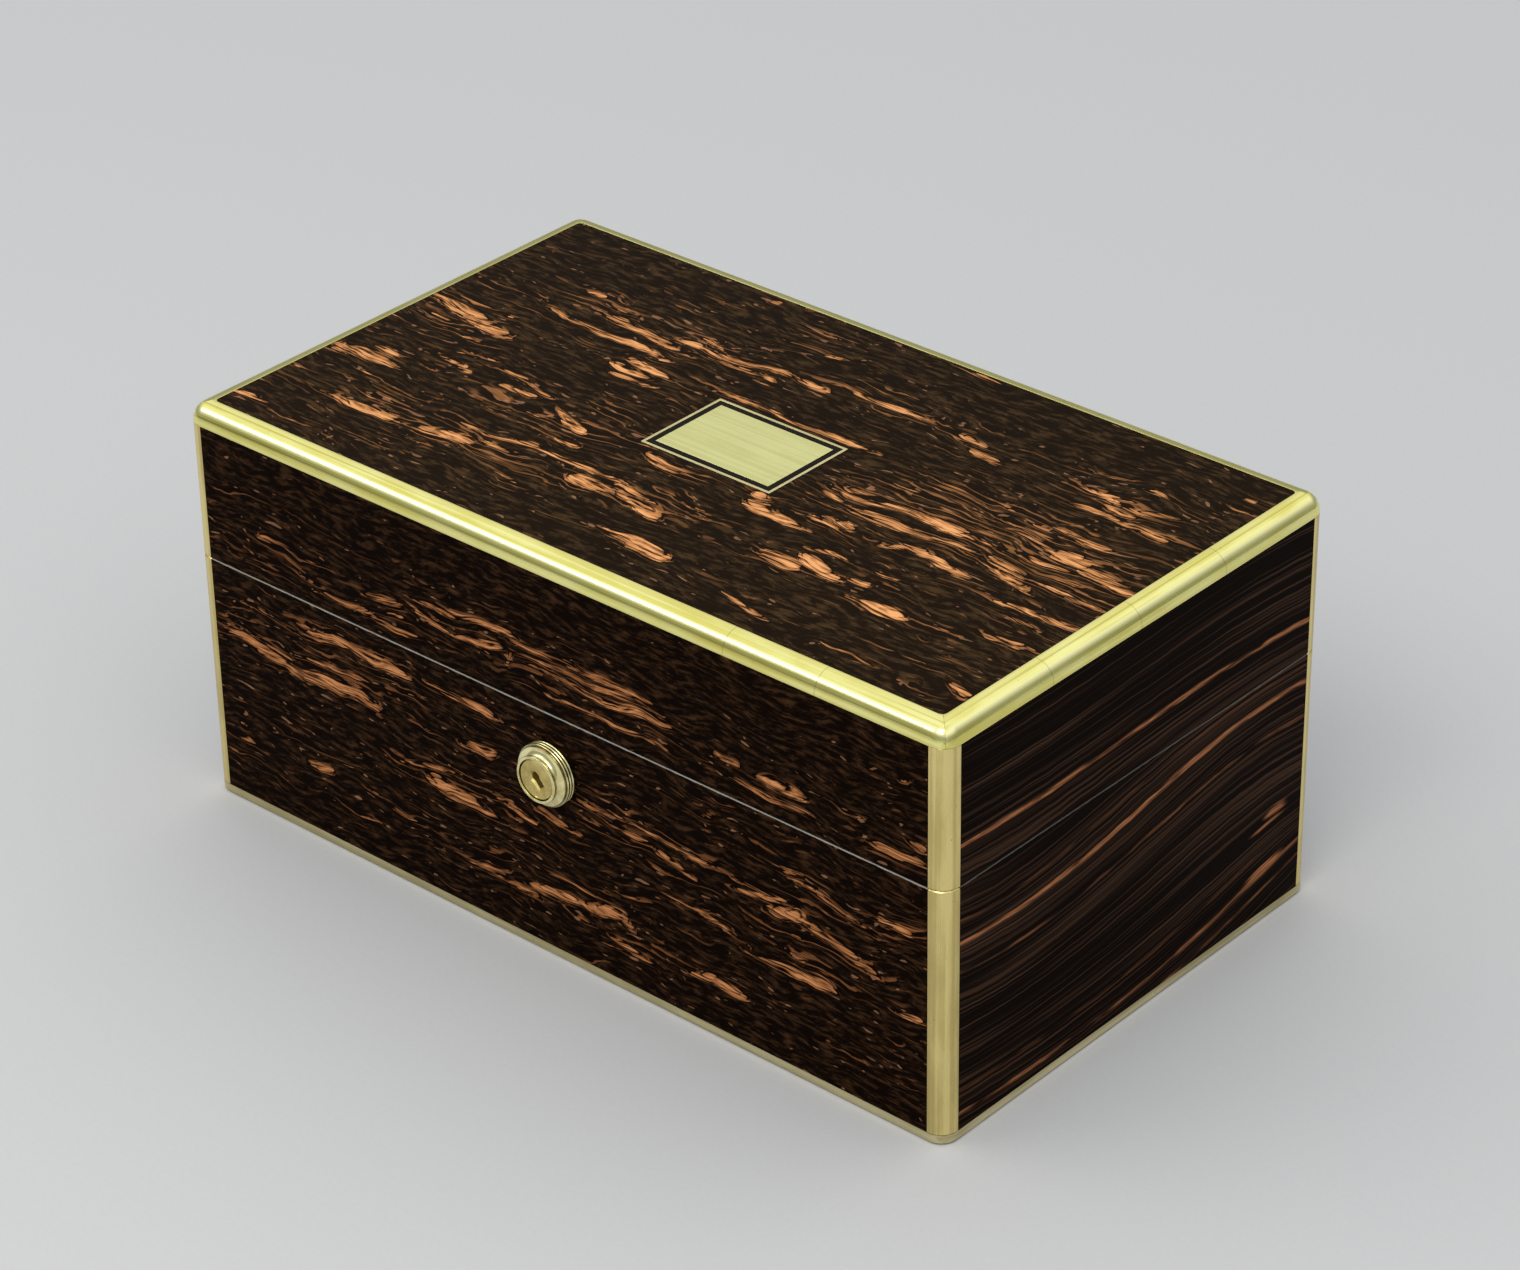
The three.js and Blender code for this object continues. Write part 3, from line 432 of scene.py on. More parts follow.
top_flames = [
    (-109, 46.5, -101, 45.8, 2.4, 0.8), (-109, 29.6, -54, 26.6, 3.8, 0.95),
    (-56, 33.5, -92, 38, 4.6, 0.85), (-66, 40, -52, 40, 4.2, 1.1), (-53, 39.4, -19, 43.6, 4.8, 0.9),
    (-53, 36.8, -20, 38, 2.4, 0.8), (-17, 43.8, -2, 42.4, 3.8, 1), (-47, 16.6, -67, 20, 3.6, 1),
    (-51, 12.8, -69, 15.4, 4.4, 0.95), (-48, 9.6, -65, 9.2, 2.6, 0.8), (-42, 21.6, 34, 21, 3, 0.75),
    (-146, 12.2, -118, 11, 5.6, 0.8), (-130, 10, -104, 6, 6, 0.95), (-98, -11.8, -81, -10.8, 2.2, 0.8),
    (-85, -11, -65, -17, 2.4, 0.8), (-114, -15.4, -101, -16.4, 2.4, 0.8),
    (-103, -18.7, -97, -18.7, 2.4, 0.9), (-85, -20, -70, -19, 3.2, 0.8),
    (-59, -20.8, -42, -24.6, 3, 0.95), (-47, -33, -37, -32.6, 3.4, 0.95),
    (5, -25.4, -20, -23.6, 5.6, 0.85), (-119, -29.4, -146, -34, 6.6, 0.85),
    (-133, -25.4, -122, -25.4, 2.4, 0.8), (-126, -57.4, -91, -56.2, 3.8, 0.95),
    (-87, -56, -64, -51.4, 4.6, 1), (-72, -45, -13, -41.2, 2.4, 0.75), (-56, -43, -47, -42.6, 3.4, 0.9),
    (5, -45.6, -13, -41.8, 2.2, 0.75), (-11, -46.6, -29, -48.8, 6.4, 1.1),
    (-10, -45.2, 13, -51, 4.6, 1), (-134, -73, -146, -74.4, 2.6, 0.8), (-59, 79.4, -54, 79.6, 2.6, 0.8),
    (-19, 60.8, -13, 62.8, 2, 0.8), (-6, 47.2, 38, 47.8, 2.2, 0.75), (60, 46.4, 46, 48, 3.2, 0.9),
    (55, 41.8, 67, 41.2, 3, 0.8), (95, 47.4, 112, 42.4, 2.6, 0.75), (110, 42, 130, 47, 3.4, 0.9),
    (105, 40.4, 119, 39.2, 3, 0.8), (136, 35.6, 99, 34.4, 2.2, 0.75), (123, 34.4, 135, 34, 3.8, 0.9),
    (105, 20, 126, 20, 3.8, 0.85), (96, 17, 105, 17.4, 3, 0.8), (112, 9, 122, 11, 3.8, 0.85),
    (114, 7, 127, 6.8, 5, 1), (146, 3.6, 124, 5.4, 5.4, 0.8), (38, -4.4, 60, -1.6, 3, 0.8),
    (52, -1.6, 88, -0.6, 5, 1.05), (98, 1.4, 126, 1.4, 3, 0.8), (25, -6.8, 47, -7.2, 2.4, 0.75),
    (53, -11, 82, -9.4, 2.6, 0.8), (80, -8.6, 98, -6.2, 2.4, 0.8), (119, -9, 99, -6.2, 5, 1.1),
    (146, -10.4, 112, -8.6, 2.2, 0.75), (101, -10.6, 124, -15.6, 3.4, 0.85),
    (71, -21, 79, -15.8, 3, 0.9), (106, -20.6, 76, -15.4, 3.6, 1), (46, -21.6, 60, -18, 5.2, 0.8),
    (49, -27.6, 23, -26, 5.2, 1.05), (30, -23, 22, -20, 4, 1), (121, -25.6, 146, -22.2, 3.6, 0.85),
    (51, -37.6, 72, -34.4, 2, 0.75), (70, -35.6, 93, -33.2, 2, 0.75), (76, -45, 57, -39.6, 5.4, 1.1),
    (77, -42, 85, -41.4, 3.4, 0.95), (83, -50.4, 105, -49, 5.2, 1.05), (45, -45, 62, -47, 5.4, 0.85),
    (123, -41.6, 140, -41.6, 4.4, 0.75), (1, -67, 30, -67.4, 5.4, 1.05),
    (53, -70.4, 75, -74.6, 2.2, 0.75), (136, -69, 146, -71.2, 4, 0.9), (136, 69.6, 141, 69.8, 3, 0.8),
]
# A cluster is written as its x and height, its half length and half width, and its rise.
front_clusters = [
    (0, 103, 64, 11, 0.045), (-100, 98, 52, 9, 0.04), (-100, 70, 58, 14, 0.06), (35, 60, 44, 9, 0.06),
    (112, 56, 36, 20, 0.04), (-45, 46, 34, 8, 0.05), (20, 21, 40, 8, 0.05), (115, 98, 36, 8, 0.03),
    (20, 127, 170, 11, -0.14), (90, 112, 70, 12, -0.06), (0, 89, 160, 5, -0.08), (-80, 8, 90, 9, -0.08),
    (90, 7, 70, 8, -0.08), (-90, 52, 30, 6, -0.05),
]
top_clusters = [
    (92, 4, 62, 24, 0.09), (-60, -26, 44, 12, 0.06), (-75, 44, 72, 10, 0.05), (30, 46, 50, 9, 0.05),
    (115, 43, 36, 9, 0.05), (-70, -53, 62, 9, 0.06), (0, -46, 50, 10, 0.04), (-110, 6, 40, 12, 0.05),
    (70, 70, 90, 14, -0.12), (-110, 70, 60, 14, -0.10), (-75, 4, 34, 10, -0.08), (40, -57, 70, 7, -0.07),
    (10, -78, 150, 8, -0.06), (10, 30, 60, 8, -0.07),
]
# From the darkest heartwood over brown and orange to the palest rims, as they look in even light.
front_tones = [(0.0042, 0.0018, 0.0010), (0.050, 0.0225, 0.0095), (0.130, 0.053, 0.021),
               (0.400, 0.152, 0.052), (0.660, 0.285, 0.115)]
top_tones = [(0.0100, 0.0048, 0.0016), (0.062, 0.0330, 0.0130), (0.190, 0.080, 0.027),
             (0.600, 0.248, 0.086), (0.900, 0.430, 0.170)]
side_polish, top_polish = 0.010, 0.014
side_tint, top_tint = (1.0, 0.72, 0.55), (1.0, 0.85, 0.55)
front_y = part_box("base_front_veneer")[0].y / mm
top_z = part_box("lid_top_veneer")[1].z / mm


def laid_at(flames, rise, turned):
    """The same flames in the map's own heights, and turned end for end for the back."""
    return [(turned * tail_x, tail + rise, turned * head_x, head + rise, *rest)
            for tail_x, tail, head_x, head, *rest in flames]


def spread_at(clusters, rise, turned):
    return [(turned * x, place + rise, *rest) for x, place, *rest in clusters]


front_leaf = (front_flames, front_clusters, front_tones, side_polish, side_tint)
top_leaf = (top_flames, top_clusters, top_tones, top_polish, top_tint)
for name, shift, rise, turned, leaf in [
    ("ebony_front", 0.0, front_y, 1, front_leaf),
    ("ebony_back", 11.7, -front_y, -1, front_leaf),
    ("ebony_top", 5.3, top_z, 1, top_leaf),
]:
    flames, clusters, *look = leaf
    flames, clusters = laid_at(flames, rise, turned), spread_at(clusters, rise, turned)
    figured_ebony(name, shift, flames, clusters, *look)
    print(name, "has", len(flames), "laid flames")

# %% [markdown]
# ## Striped ebony
# The two ends are cut so that the grain shows as long, nearly parallel stripes. They are much
# darker than the front: fine brown lines, and two or three clear orange ones, which rise gently
# towards the back, with a few short flames near the back edge. Stripes are a noise field that barely
# changes along the grain, so what matters is the curve that they follow. Four cubic curves, read off
# the real end, are blended by height.

# %% Make striped ebony
# A bend is written as its height and the factors of its curve.
stripe_bends = [(6, (6.1, 7.3, 0.8)), (60, (12.0, 1.5, -8.1)),
                (73, (14.0, 0.3, -8.2)), (101, (2.6, -0.6, -3.1))]
bend_span = 80
stripe_brown = (0.056, 0.028, 0.016)
stripe_orange = ((0.17, 0.062, 0.026), (0.52, 0.205, 0.085))


def stripe_curve(shader):
    """How far a stripe has risen above its height at the middle of the end."""
    t = shader.y / bend_span
    curves = [(height, t * a + t * t * b + t * t * t * c) for height, (a, b, c) in stripe_bends]
    low, rise = curves[0]
    for high, curve in curves[1:]:
        part = shader.z.step(low, high)
        rise = rise + (curve - rise) * part
        low = high
    return rise


def striped_ebony(name, shift, streaks):
    shader = Shader(name)
    tremble = shader.long_noise(shader.y, shader.z, 12, 9, shift + 2) - 0.5
    level = shader.z - stripe_curve(shader) + tremble * 1.2
    fine = shader.long_noise(shader.y, level, 210, 0.95, shift, 2, 0.6)
    wide = shader.long_noise(shader.y, level, 130, 6.5, shift + 7)
    middle = shader.z.step(118, 84) - shader.z.step(60, 38) * 0.6
    brown = (fine * 0.85 + wide * 0.38 + middle * 0.07).step(0.62, 0.84)
    ground = brown.blend(front_tones[0], stripe_brown)
    clear = None
    for height, half_width, strength, *span in streaks:
        off = (level - height) / half_width
        square = off * off
        if span:
            along = (shader.y - span[0]) / span[1]
            square = square + along * along
        line = (square * -1).math("EXPONENT") * strength
        clear = line if clear is None else clear + line
    broken = shader.long_noise(shader.y, level, 22, 2.5, shift + 12)
    clear = clear * (0.30 + broken.step(0.32, 0.58) * 0.8)
    fibre = shader.long_noise(shader.y, level, 12, 0.4, shift + 15)
    orange = fibre.step(0.35, 0.7).blend(*stripe_orange)
    mask = clear.step(0.10, 0.75)
    # The ends get the painted highlight along the rim of the base too, but weaker.
    tone = (parting_highlight(shader) * 0.35).blend(mask.blend(ground, orange), parting_highlight_tone)
    polished(shader, tone, fine, side_polish, side_tint)


# A clear streak is written as its height, half width and strength. The place along the end and the
# half length follow where it is short.
right_streaks = [(101.1, 0.9, 0.85), (72.8, 1.1, 1.0), (81, 0.6, 0.30), (60.5, 1.0, 0.35),
                 (8.5, 1.0, 0.5), (17, 1.4, 0.25), (2, 0.8, 0.4),
                 (30.6, 1.5, 1.5, 70, 5), (27.0, 0.9, 0.8, 66, 9), (10.5, 1.2, 1.3, 65, 8)]
left_streaks = [(105, 0.9, 0.6), (52, 1.1, 0.8), (31, 0.8, 0.4)]
striped_ebony("ebony_right", 0.0, right_streaks)
striped_ebony("ebony_left", 4.4, left_streaks)
print("striped ebony made")

# %% [markdown]
# ## Brass
# The binding is drawn brass, rubbed along its length with fine paper and left to age. Rubbed
# metal is a bundle of tiny grooves: across them the noise is very fine, along them it is nearly
# still. The grooves tilt the normal a little and roughen the mirror, and grime stays in the lines
# and along the joints. The outer edges get a painted highlight: a pale band in the colour. On the
# mouldings round the lid painted reflections add a dark line on either side of that edge, and dull
# olive bands further off.

# %% Make brushed brass
# Painted reflection on the mouldings: a dull olive.
brass_reflection_olive = (0.72, 0.62, 0.22)
# Grime, and also painted shade between the nozzle's reeds.
brass_grime_and_shade = (0.16, 0.12, 0.05)
# Painted highlight on the outer edges.
brass_edge_highlight = (0.99, 0.94, 0.47)
# Painted reflection on the mouldings: dark lines beside the arris.
brass_dark_reflection = (0.44, 0.36, 0.07)
outer_limits = [getattr(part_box(f"lid_moulding_{side}")[1], axis) / mm
                for side, axis in (("right", "x"), ("back", "y"), ("front", "z"))]
edge_reach = 0.7


def stretched(shader, axis, along, across, shift=0.0):
    sizes = [across] * 3
    sizes["xyz".index(axis)] = along
    return shader.vector(shader.x / sizes[0] + shift, shader.y / sizes[1], shader.z / sizes[2])


def near_edges(shader):
    """1 along the box's outer edges, where two of its outer faces meet."""
    near = []
    for axis, limit in zip("xyz", outer_limits):
        out = getattr(shader, axis).math("ABSOLUTE")
        near.append(out.step(limit - edge_reach, limit - edge_reach * 0.3))
    return near[0] * near[1] + near[1] * near[2] + near[0] * near[2]


def past_arris(shader, axis):
    """How far round the moulding a point lies: below 0 on its top, above 0 on its outer side."""
    side = "y" if axis == "x" else "x"
    arris = outer_limits["xyz".index(side)] - outer_limits[2]
    return getattr(shader, side).math("ABSOLUTE") - shader.z - arris


def brushed_brass(name, axis, tones, roughness, wear=0.5, groove=0.30, seams=(), moulded=False):
    shader = Shader(name)
    lines = shader.noise(stretched(shader, axis, 70, 0.32), 1, 3, 0.6)
    bands = shader.noise(stretched(shader, axis, 160, 1.6, 4), 1, 2)
    cloud = shader.noise(stretched(shader, axis, 22, 7, 9), 1, 3, 0.55)
    pits = shader.noise(shader.place, 0.9, 2, 0.6, 0.3)
    grime = (bands * 0.6 + lines * 0.5).step(0.68, 0.90) * wear
    spots = pits.step(0.70, 0.76) * wear
    tone = (cloud * 0.5 + bands * 0.8).step(0.48, 0.80).blend(*tones)
    soiled = shader.node("Clamp", {}, {0: grime * 0.55 + spots * 0.5})
    tone = soiled.blend(tone, brass_grime_and_shade)
    if moulded:
        # On the mouldings: a painted highlight at the arris, and painted reflections beside it, dark lines
        # on either side and dull olive bands further off.
        past = past_arris(shader, axis)
        highlight_band = past.ridge(0.3, 2.2)
        dark_reflection_lines = past.ridge(3.1, 0.55) + past.ridge(-4.0, 0.5) * 0.6
        dull_reflection_bands = past.step(-3.6, -6.0) + past.step(5.0, 6.6)
        tone = (dull_reflection_bands * 0.35).blend(tone, brass_reflection_olive)
        tone = (dark_reflection_lines * bands.step(0.36, 0.56) * 0.75).blend(tone, brass_dark_reflection)
    else:
        highlight_band = near_edges(shader)
    # Where the highlight band lies, the colour is painted pale: a painted highlight.
    painted_highlight = (highlight_band + lines * 0.5).step(0.50, 1.20)
    tone = painted_highlight.blend(tone, brass_edge_highlight)
    height = lines * 0.6 + pits * 0.25
    along = getattr(shader, axis)
    for place in seams:
        joint = 1 - (along - place).math("ABSOLUTE").step(0.08, 0.30)
        tone = (joint * 0.30).blend(tone, brass_grime_and_shade)
        height = height - joint * 0.5
    shader.finish(
        Base_Color=tone,
        Metallic=1.0,
        Roughness=roughness + (lines - 0.5) * 0.26 + grime * 0.25 + spots * 0.2 - painted_highlight * 0.06,
        Normal=shader.bump(height, groove, 0.06),
    )


# Where the mouldings are pieced together, along the front and along the right side.
moulding_seams = {"x": (104.8, 70.5), "y": (-42.2, -1.5, 39.0)}
# Each brass has a pale and a dark tone.
binding_tones = ((0.97, 0.93, 0.37), (0.78, 0.71, 0.18))
edging_tones = ((0.72, 0.64, 0.38), (0.50, 0.43, 0.22))
corner_tones = ((0.84, 0.70, 0.29), (0.60, 0.475, 0.18))
cap_tones = ((0.95, 0.93, 0.42), (0.84, 0.81, 0.33))
line_tones = ((0.92, 0.82, 0.42), (0.80, 0.70, 0.34))
hinge_tones = ((0.68, 0.58, 0.30), (0.58, 0.48, 0.22))
for axis, seams in moulding_seams.items():
    brushed_brass(f"binding_brass_{axis}", axis, binding_tones, 0.21, 0.8, seams=seams, moulded=True)
    brushed_brass(f"edging_brass_{axis}", axis, edging_tones, 0.36, wear=1.0)
brushed_brass("corner_brass", "z", corner_tones, 0.28, wear=0.9)
brushed_brass("cap_brass", "x", cap_tones, 0.30, wear=0.3, groove=0.45)
brushed_brass("line_brass", "x", line_tones, 0.28)
brushed_brass("hinge_brass", "x", hinge_tones, 0.34)
print("brass made")

# %% [markdown]
# ## Turned brass
# The nozzle and the barrel come off a lathe, so their fine lines run round the axis and not along
# it. The distance from the axis and the place along it don't change round a turned piece, and
# noise that is fed with these two alone gives rings. Between the nozzle's reeds shade is painted
# into the colour.

# %% Make turned brass and steel
barrel_low, barrel_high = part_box("lock_barrel")
lock_height = (barrel_low.z + barrel_high.z) / 2 / mm
nozzle_low, nozzle_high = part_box("lock_nozzle")
nozzle_radius = (nozzle_high.x - nozzle_low.x) / 2 / mm
nozzle_tones = ((0.97, 0.91, 0.50), (0.74, 0.63, 0.28))
barrel_tones = ((0.74, 0.60, 0.22), (0.54, 0.43, 0.15))


def turned_brass(name, tones, roughness, crest=None):
    """Brass turned round the lock's axis. The crest is the radius of its reeds, if it has any."""
    shader = Shader(name)
    rise = shader.z - lock_height
    radius = (shader.x * shader.x + rise * rise).math("SQRT")
    rings = shader.noise(shader.vector(radius / 0.28, shader.y / 0.28, 0), 1, 2, 0.6)
    cloud = shader.noise(shader.place, 0.28, 3, 0.6)
    pits = shader.noise(shader.place, 1.3, 2, 0.6)
    spots = pits.step(0.66, 0.74)
    tone = cloud.step(0.35, 0.70).blend(*tones)
    tone = (spots * 0.45).blend(tone, brass_grime_and_shade)
    # Painted shade: the colour darkens in the creases between the reeds.
    if crest is not None:
        crease = radius.step(crest - 0.12, crest - 0.42)
        crease = crease * radius.step(crest - 1.0, crest - 0.6)
        tone = (crease * 0.85).blend(tone, brass_grime_and_shade)
    shader.finish(
        Base_Color=tone,
        Metallic=1.0,
        Roughness=roughness + (rings - 0.5) * 0.2 + spots * 0.2,
        Normal=shader.bump(rings * 0.7 + pits * 0.3, 0.28, 0.06),
    )


def filed_steel(name):
    shader = Shader(name)
    lines = shader.noise(stretched(shader, "x", 12, 0.3), 1, 3)
    rust = shader.noise(shader.place, 0.5, 3, 0.6).step(0.55, 0.75)
    shader.finish(
        Base_Color=(rust * 0.4).blend((0.46, 0.45, 0.43), (0.20, 0.11, 0.06)),
        Metallic=1.0,
        Roughness=0.34 + lines * 0.15 + rust * 0.2,
        Normal=shader.bump(lines, 0.3, 0.05),
    )


turned_brass("nozzle_brass", nozzle_tones, 0.16, nozzle_radius)
turned_brass("barrel_brass", barrel_tones, 0.42)
filed_steel("filed_steel")
print("turned brass and steel made")

# %% [markdown]
# ## Boards, line and leather
# The carcass shows only at the rims when the lid stands open: plain mahogany with short dark
# pores. The dark line round the cap plate is black-stained wood, and the underside is covered with
# thin grained leather.


# %% Make boards, line and leather
def mahogany(name):
    shader = Shader(name)
    wave = shader.noise(shader.place, 0.03, 2)
    layers = shader.vector(shader.x / 60, shader.y / 2.2 + wave * 4, shader.z / 3.0)
    rings = shader.noise(layers, 1, 3, 0.55)
    pores = shader.noise(stretched(shader, "x", 5, 0.35), 1, 1).step(0.64, 0.72)
    tone = rings.step(0.35, 0.68).blend((0.27, 0.105, 0.042), (0.13, 0.045, 0.018))
    shader.finish(
        Base_Color=(pores * 0.7).blend(tone, (0.045, 0.016, 0.008)),
        Roughness=0.42 + pores * 0.2,
        Normal=shader.bump(1 - pores, 0.25, 0.08),
        Specular_IOR_Level=0.4,
    )


def black_line(name):
    shader = Shader(name)
    fibre = shader.noise(stretched(shader, "x", 14, 0.4), 1, 2)
    shader.finish(
        Base_Color=fibre.blend((0.004, 0.003, 0.0025), (0.015, 0.010, 0.007)),
        Roughness=0.12 + fibre * 0.08,
        Specular_IOR_Level=0.03,
    )


def grained_leather(name):
    shader = Shader(name)
    pebble = shader.cells(shader.place, 0.9)
    crease = shader.noise(shader.place, 0.25, 4, 0.6)
    tone = crease.step(0.35, 0.7).blend((0.085, 0.030, 0.024), (0.045, 0.016, 0.014))
    shader.finish(
        Base_Color=pebble.step(0.05, 0.0).blend(tone, (0.02, 0.008, 0.007)),
        Roughness=0.55 + pebble * 0.2,
        Normal=shader.bump(pebble + crease * 0.4, 0.5, 0.15),
        Specular_IOR_Level=0.35,
    )


mahogany("mahogany_board")
black_line("black_line")
grained_leather("underside_leather")
print("boards, line and leather made")

# %% [markdown]
# ## Velvet and silk
# Velvet is a forest of upright threads: seen from above it is deep and dark, and at a grazing
# angle it shines. The sheen of the shader does this, and uneven noise lays patches of the pile
# over. Between the rolls of the ring pad little light reaches the pile, so shade is painted into
# its colour towards the creases. Satin is the opposite: flat threads that lie over each other and
# gleam.

# %% Make velvet and silk
# Each cloth has a deep and a lit tone.
velvet_tones = ((0.010, 0.020, 0.095), (0.022, 0.040, 0.165))
ring_tones = ((0.012, 0.024, 0.110), (0.030, 0.056, 0.215))
satin_tones = ((0.020, 0.034, 0.150), (0.045, 0.070, 0.260))
ribbon_tones = ((0.030, 0.050, 0.200), (0.060, 0.095, 0.330))
roll_rise = 4.2
ring_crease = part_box("ring_pad")[1].z / mm - roll_rise


def velvet(name, tones, crease=None):
    shader = Shader(name)
    patches = shader.noise(shader.place, 0.05, 3, 0.6, 0.8)
    pile = shader.noise(shader.place, 2.6, 2, 0.7)
    tone = (patches * 0.7 + pile * 0.3).step(0.34, 0.66).blend(*tones)
    # Painted shade: the pile darkens towards the creases between the rolls.
    if crease is not None:
        crease_shade = shader.z.step(crease + 3.8, crease + 0.3)
        tone = crease_shade.blend(tone, [c * 0.2 for c in tones[0]])
    shader.finish(
        Base_Color=tone,
        Roughness=0.85 + patches * 0.1,
        Normal=shader.bump(pile + patches * 0.5, 0.45, 0.25),
        Specular_IOR_Level=0.15,
        Sheen_Weight=0.55,
        Sheen_Roughness=0.35,
        Sheen_Tint=opaque((0.35, 0.45, 1.0)),
    )


def satin(name, tones):
    shader = Shader(name)
    weft = (shader.x * whole_turn / 0.42).math("SINE") * (shader.y * whole_turn / 0.30).math("SINE")
    slub = shader.noise(shader.vector(shader.x / 14, shader.y / 0.35, shader.z / 3), 1, 2)
    cloud = shader.noise(shader.place, 0.06, 2)
    shader.finish(
        Base_Color=(slub * 0.4 + cloud * 0.6).step(0.3, 0.7).blend(*tones),
        Roughness=0.36 + slub * 0.10,
        Normal=shader.bump(weft * 0.3 + slub * 0.3, 0.15, 0.06),
        Specular_IOR_Level=0.5,
        Sheen_Weight=0.3,
        Sheen_Roughness=0.3,
        Sheen_Tint=opaque((0.5, 0.6, 1.0)),
    )


velvet("lining_velvet", velvet_tones)
velvet("ring_pad_velvet", ring_tones, ring_crease)
satin("lid_pad_satin", satin_tones)
satin("ribbon_satin", ribbon_tones)
print("velvet and silk made")

# %% [markdown]
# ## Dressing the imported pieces
# No real edge is perfectly sharp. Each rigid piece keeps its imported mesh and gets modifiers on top
# of it: a weld, a dissolve of what lies in one plane, a narrow bevel that catches the light, and
# normals weighted towards the large faces, so that the flats look flat and the rounds round.

# %% Soften and finish the rigid pieces
weld_reach = 0.005 * mm


def modify(piece, name, kind, **settings):
    modifier = piece.modifiers.new(name, kind)
    for key, value in settings.items():
        setattr(modifier, key, value)
    return modifier


def paint(piece, finish):
    piece.data.materials.clear()
    piece.data.materials.append(finishes[finish])


def soften(piece, bevel, segments=2):
    mesh = piece.data
    if "custom_normal" in mesh.attributes:
        mesh.attributes.remove(mesh.attributes["custom_normal"])
    mesh.shade_smooth()
    modify(piece, "weld", "WELD", merge_threshold=weld_reach)
    modify(piece, "flat", "DECIMATE", decimate_type="DISSOLVE", angle_limit=math.radians(0.5))
    modify(piece, "edge", "BEVEL", width=bevel * mm, segments=segments, limit_method="ANGLE",
           angle_limit=math.radians(35), use_clamp_overlap=True)
    modify(piece, "shade", "WEIGHTED_NORMAL", keep_sharp=True)


def dress(node, finish, bevel=0.12, **options):
    soften(nodes[node], bevel, **options)
    paint(nodes[node], finish)


side_grain = {"front": "x", "back": "x", "left": "y", "right": "y"}
for side, grain_axis in side_grain.items():
    for part in ("base", "lid"):
        dress(f"{part}_{side}_veneer", f"ebony_{side}", 0.05, segments=1)
        dress(f"{part}_{side}_board", "mahogany_board", 0.1)
    dress(f"lid_moulding_{side}", f"binding_brass_{grain_axis}")
    dress(f"base_edging_{side}", f"edging_brass_{grain_axis}")
for corner in ("front_right", "back_right", "back_left", "front_left"):
    dress(f"base_corner_{corner}", "corner_brass")
    dress(f"lid_corner_{corner}", "corner_brass")
for hinge_side in ("left", "right"):
    dress(f"hinge_{hinge_side}_base_leaf", "hinge_brass", 0.1)
    dress(f"hinge_{hinge_side}_lid_leaf", "hinge_brass", 0.1)
    dress(f"hinge_{hinge_side}_pin", "filed_steel", 0.15)
for node, finish in {
    "base_bottom_board": "mahogany_board", "lid_top_board": "mahogany_board",
    "base_underside_leather": "underside_leather", "lid_top_veneer": "ebony_top",
    "cap_plate": "cap_brass", "cap_plate_brass_line": "line_brass", "cap_plate_ebony_line": "black_line",
    "lock_case": "hinge_brass", "lock_link_plate": "hinge_brass", "lock_nozzle": "nozzle_brass",
    "lock_barrel": "barrel_brass", "lock_bolt": "filed_steel",
}.items():
    dress(node, finish, 0.06)
print("rigid pieces dressed")

# %% [markdown]
# ## Linings and tray
# A lining is thin card covered in velvet, and the tray is thin wood covered the same way. So the
# edges are round, by about the thickness of the cloth, and the faces are plain. Each piece is a
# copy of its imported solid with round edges. The solid stays for the physics and isn't shown.


# %% Cover the linings and the tray
def stand_for(piece, node, body):
    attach(piece, body)
    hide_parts(node)


for node, body, radius in [
    ("well_lining", "base", 0.9), ("lid_lining", "lid", 0.4), ("tray_floor", "tray", 0.6),
    ("tray_frame", "tray", 0.5), ("tray_dividers", "tray", 0.5),
]:
    piece = put(f"{node}_velvet", nodes[node].data.copy())
    soften(piece, radius, segments=4)
    paint(piece, "lining_velvet")
    stand_for(piece, node, body)
print("linings and tray covered")

# %% [markdown]
# ## Pads
# A pad is wadding under cloth that is drawn over a card and glued behind. The cloth is cut a little
# large, so the wadding blows it up and its edge gathers. Cloth simulation does the same: the copy of
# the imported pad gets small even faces, its back is glued, air pressure fills it, and the cloth grows
# by a few hundredths. No point may go further than the room that the pad has.

# %% Blow up the pads
tuft_depth, tuft_width = 4.2, 7
fold_depth, fold_width, fold_reach = 2.0, 2.6, 48
air_pressure = 4


def settle(piece):
    """Makes the modified shape the piece's own."""
    depsgraph = bpy.context.evaluated_depsgraph_get()
    shape = bpy.data.meshes.new_from_object(piece.evaluated_get(depsgraph))
    piece.modifiers.clear()
    piece.data = shape


def even_copy(node, name, voxel, shrink):
    """A copy of a packed pad, a little smaller, with small even faces."""
    piece = put(name, nodes[node].data.copy())
    low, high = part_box(node)
    middle = (low + high) / 2
    for vertex in piece.data.vertices:
        for axis in range(3):
            vertex.co[axis] = middle[axis] + (vertex.co[axis] - middle[axis]) * shrink[axis]
    modify(piece, "weld", "WELD", merge_threshold=weld_reach)
    modify(piece, "remesh", "REMESH", mode="VOXEL", voxel_size=voxel * mm)
    settle(piece)
    return piece


def tuft(piece, buttons, rows):
    """Sinks the pad's face at its buttons, and along the folds between those of neighbouring rows."""
    face = max(vertex.co.z for vertex in piece.data.vertices) - 2 * mm
    folds = [(a, b) for low, high in zip(rows, rows[1:]) for a in low for b in high
             if (a - b).length < fold_reach]
    for vertex in piece.data.vertices:
        if vertex.co.z > face:
            continue
        place = vertex.co.xy / mm
        near = min((place - button).length for button in buttons)
        depth = tuft_depth * math.exp(-(near / tuft_width) ** 2)
        for a, b in folds:
            share = min(max((place - a).dot(b - a) / (b - a).length_squared, 0), 1)
            off = (place - a.lerp(b, share)).length
            depth = max(depth, fold_depth * math.exp(-(off / fold_width) ** 2))
        vertex.co.z += depth * mm


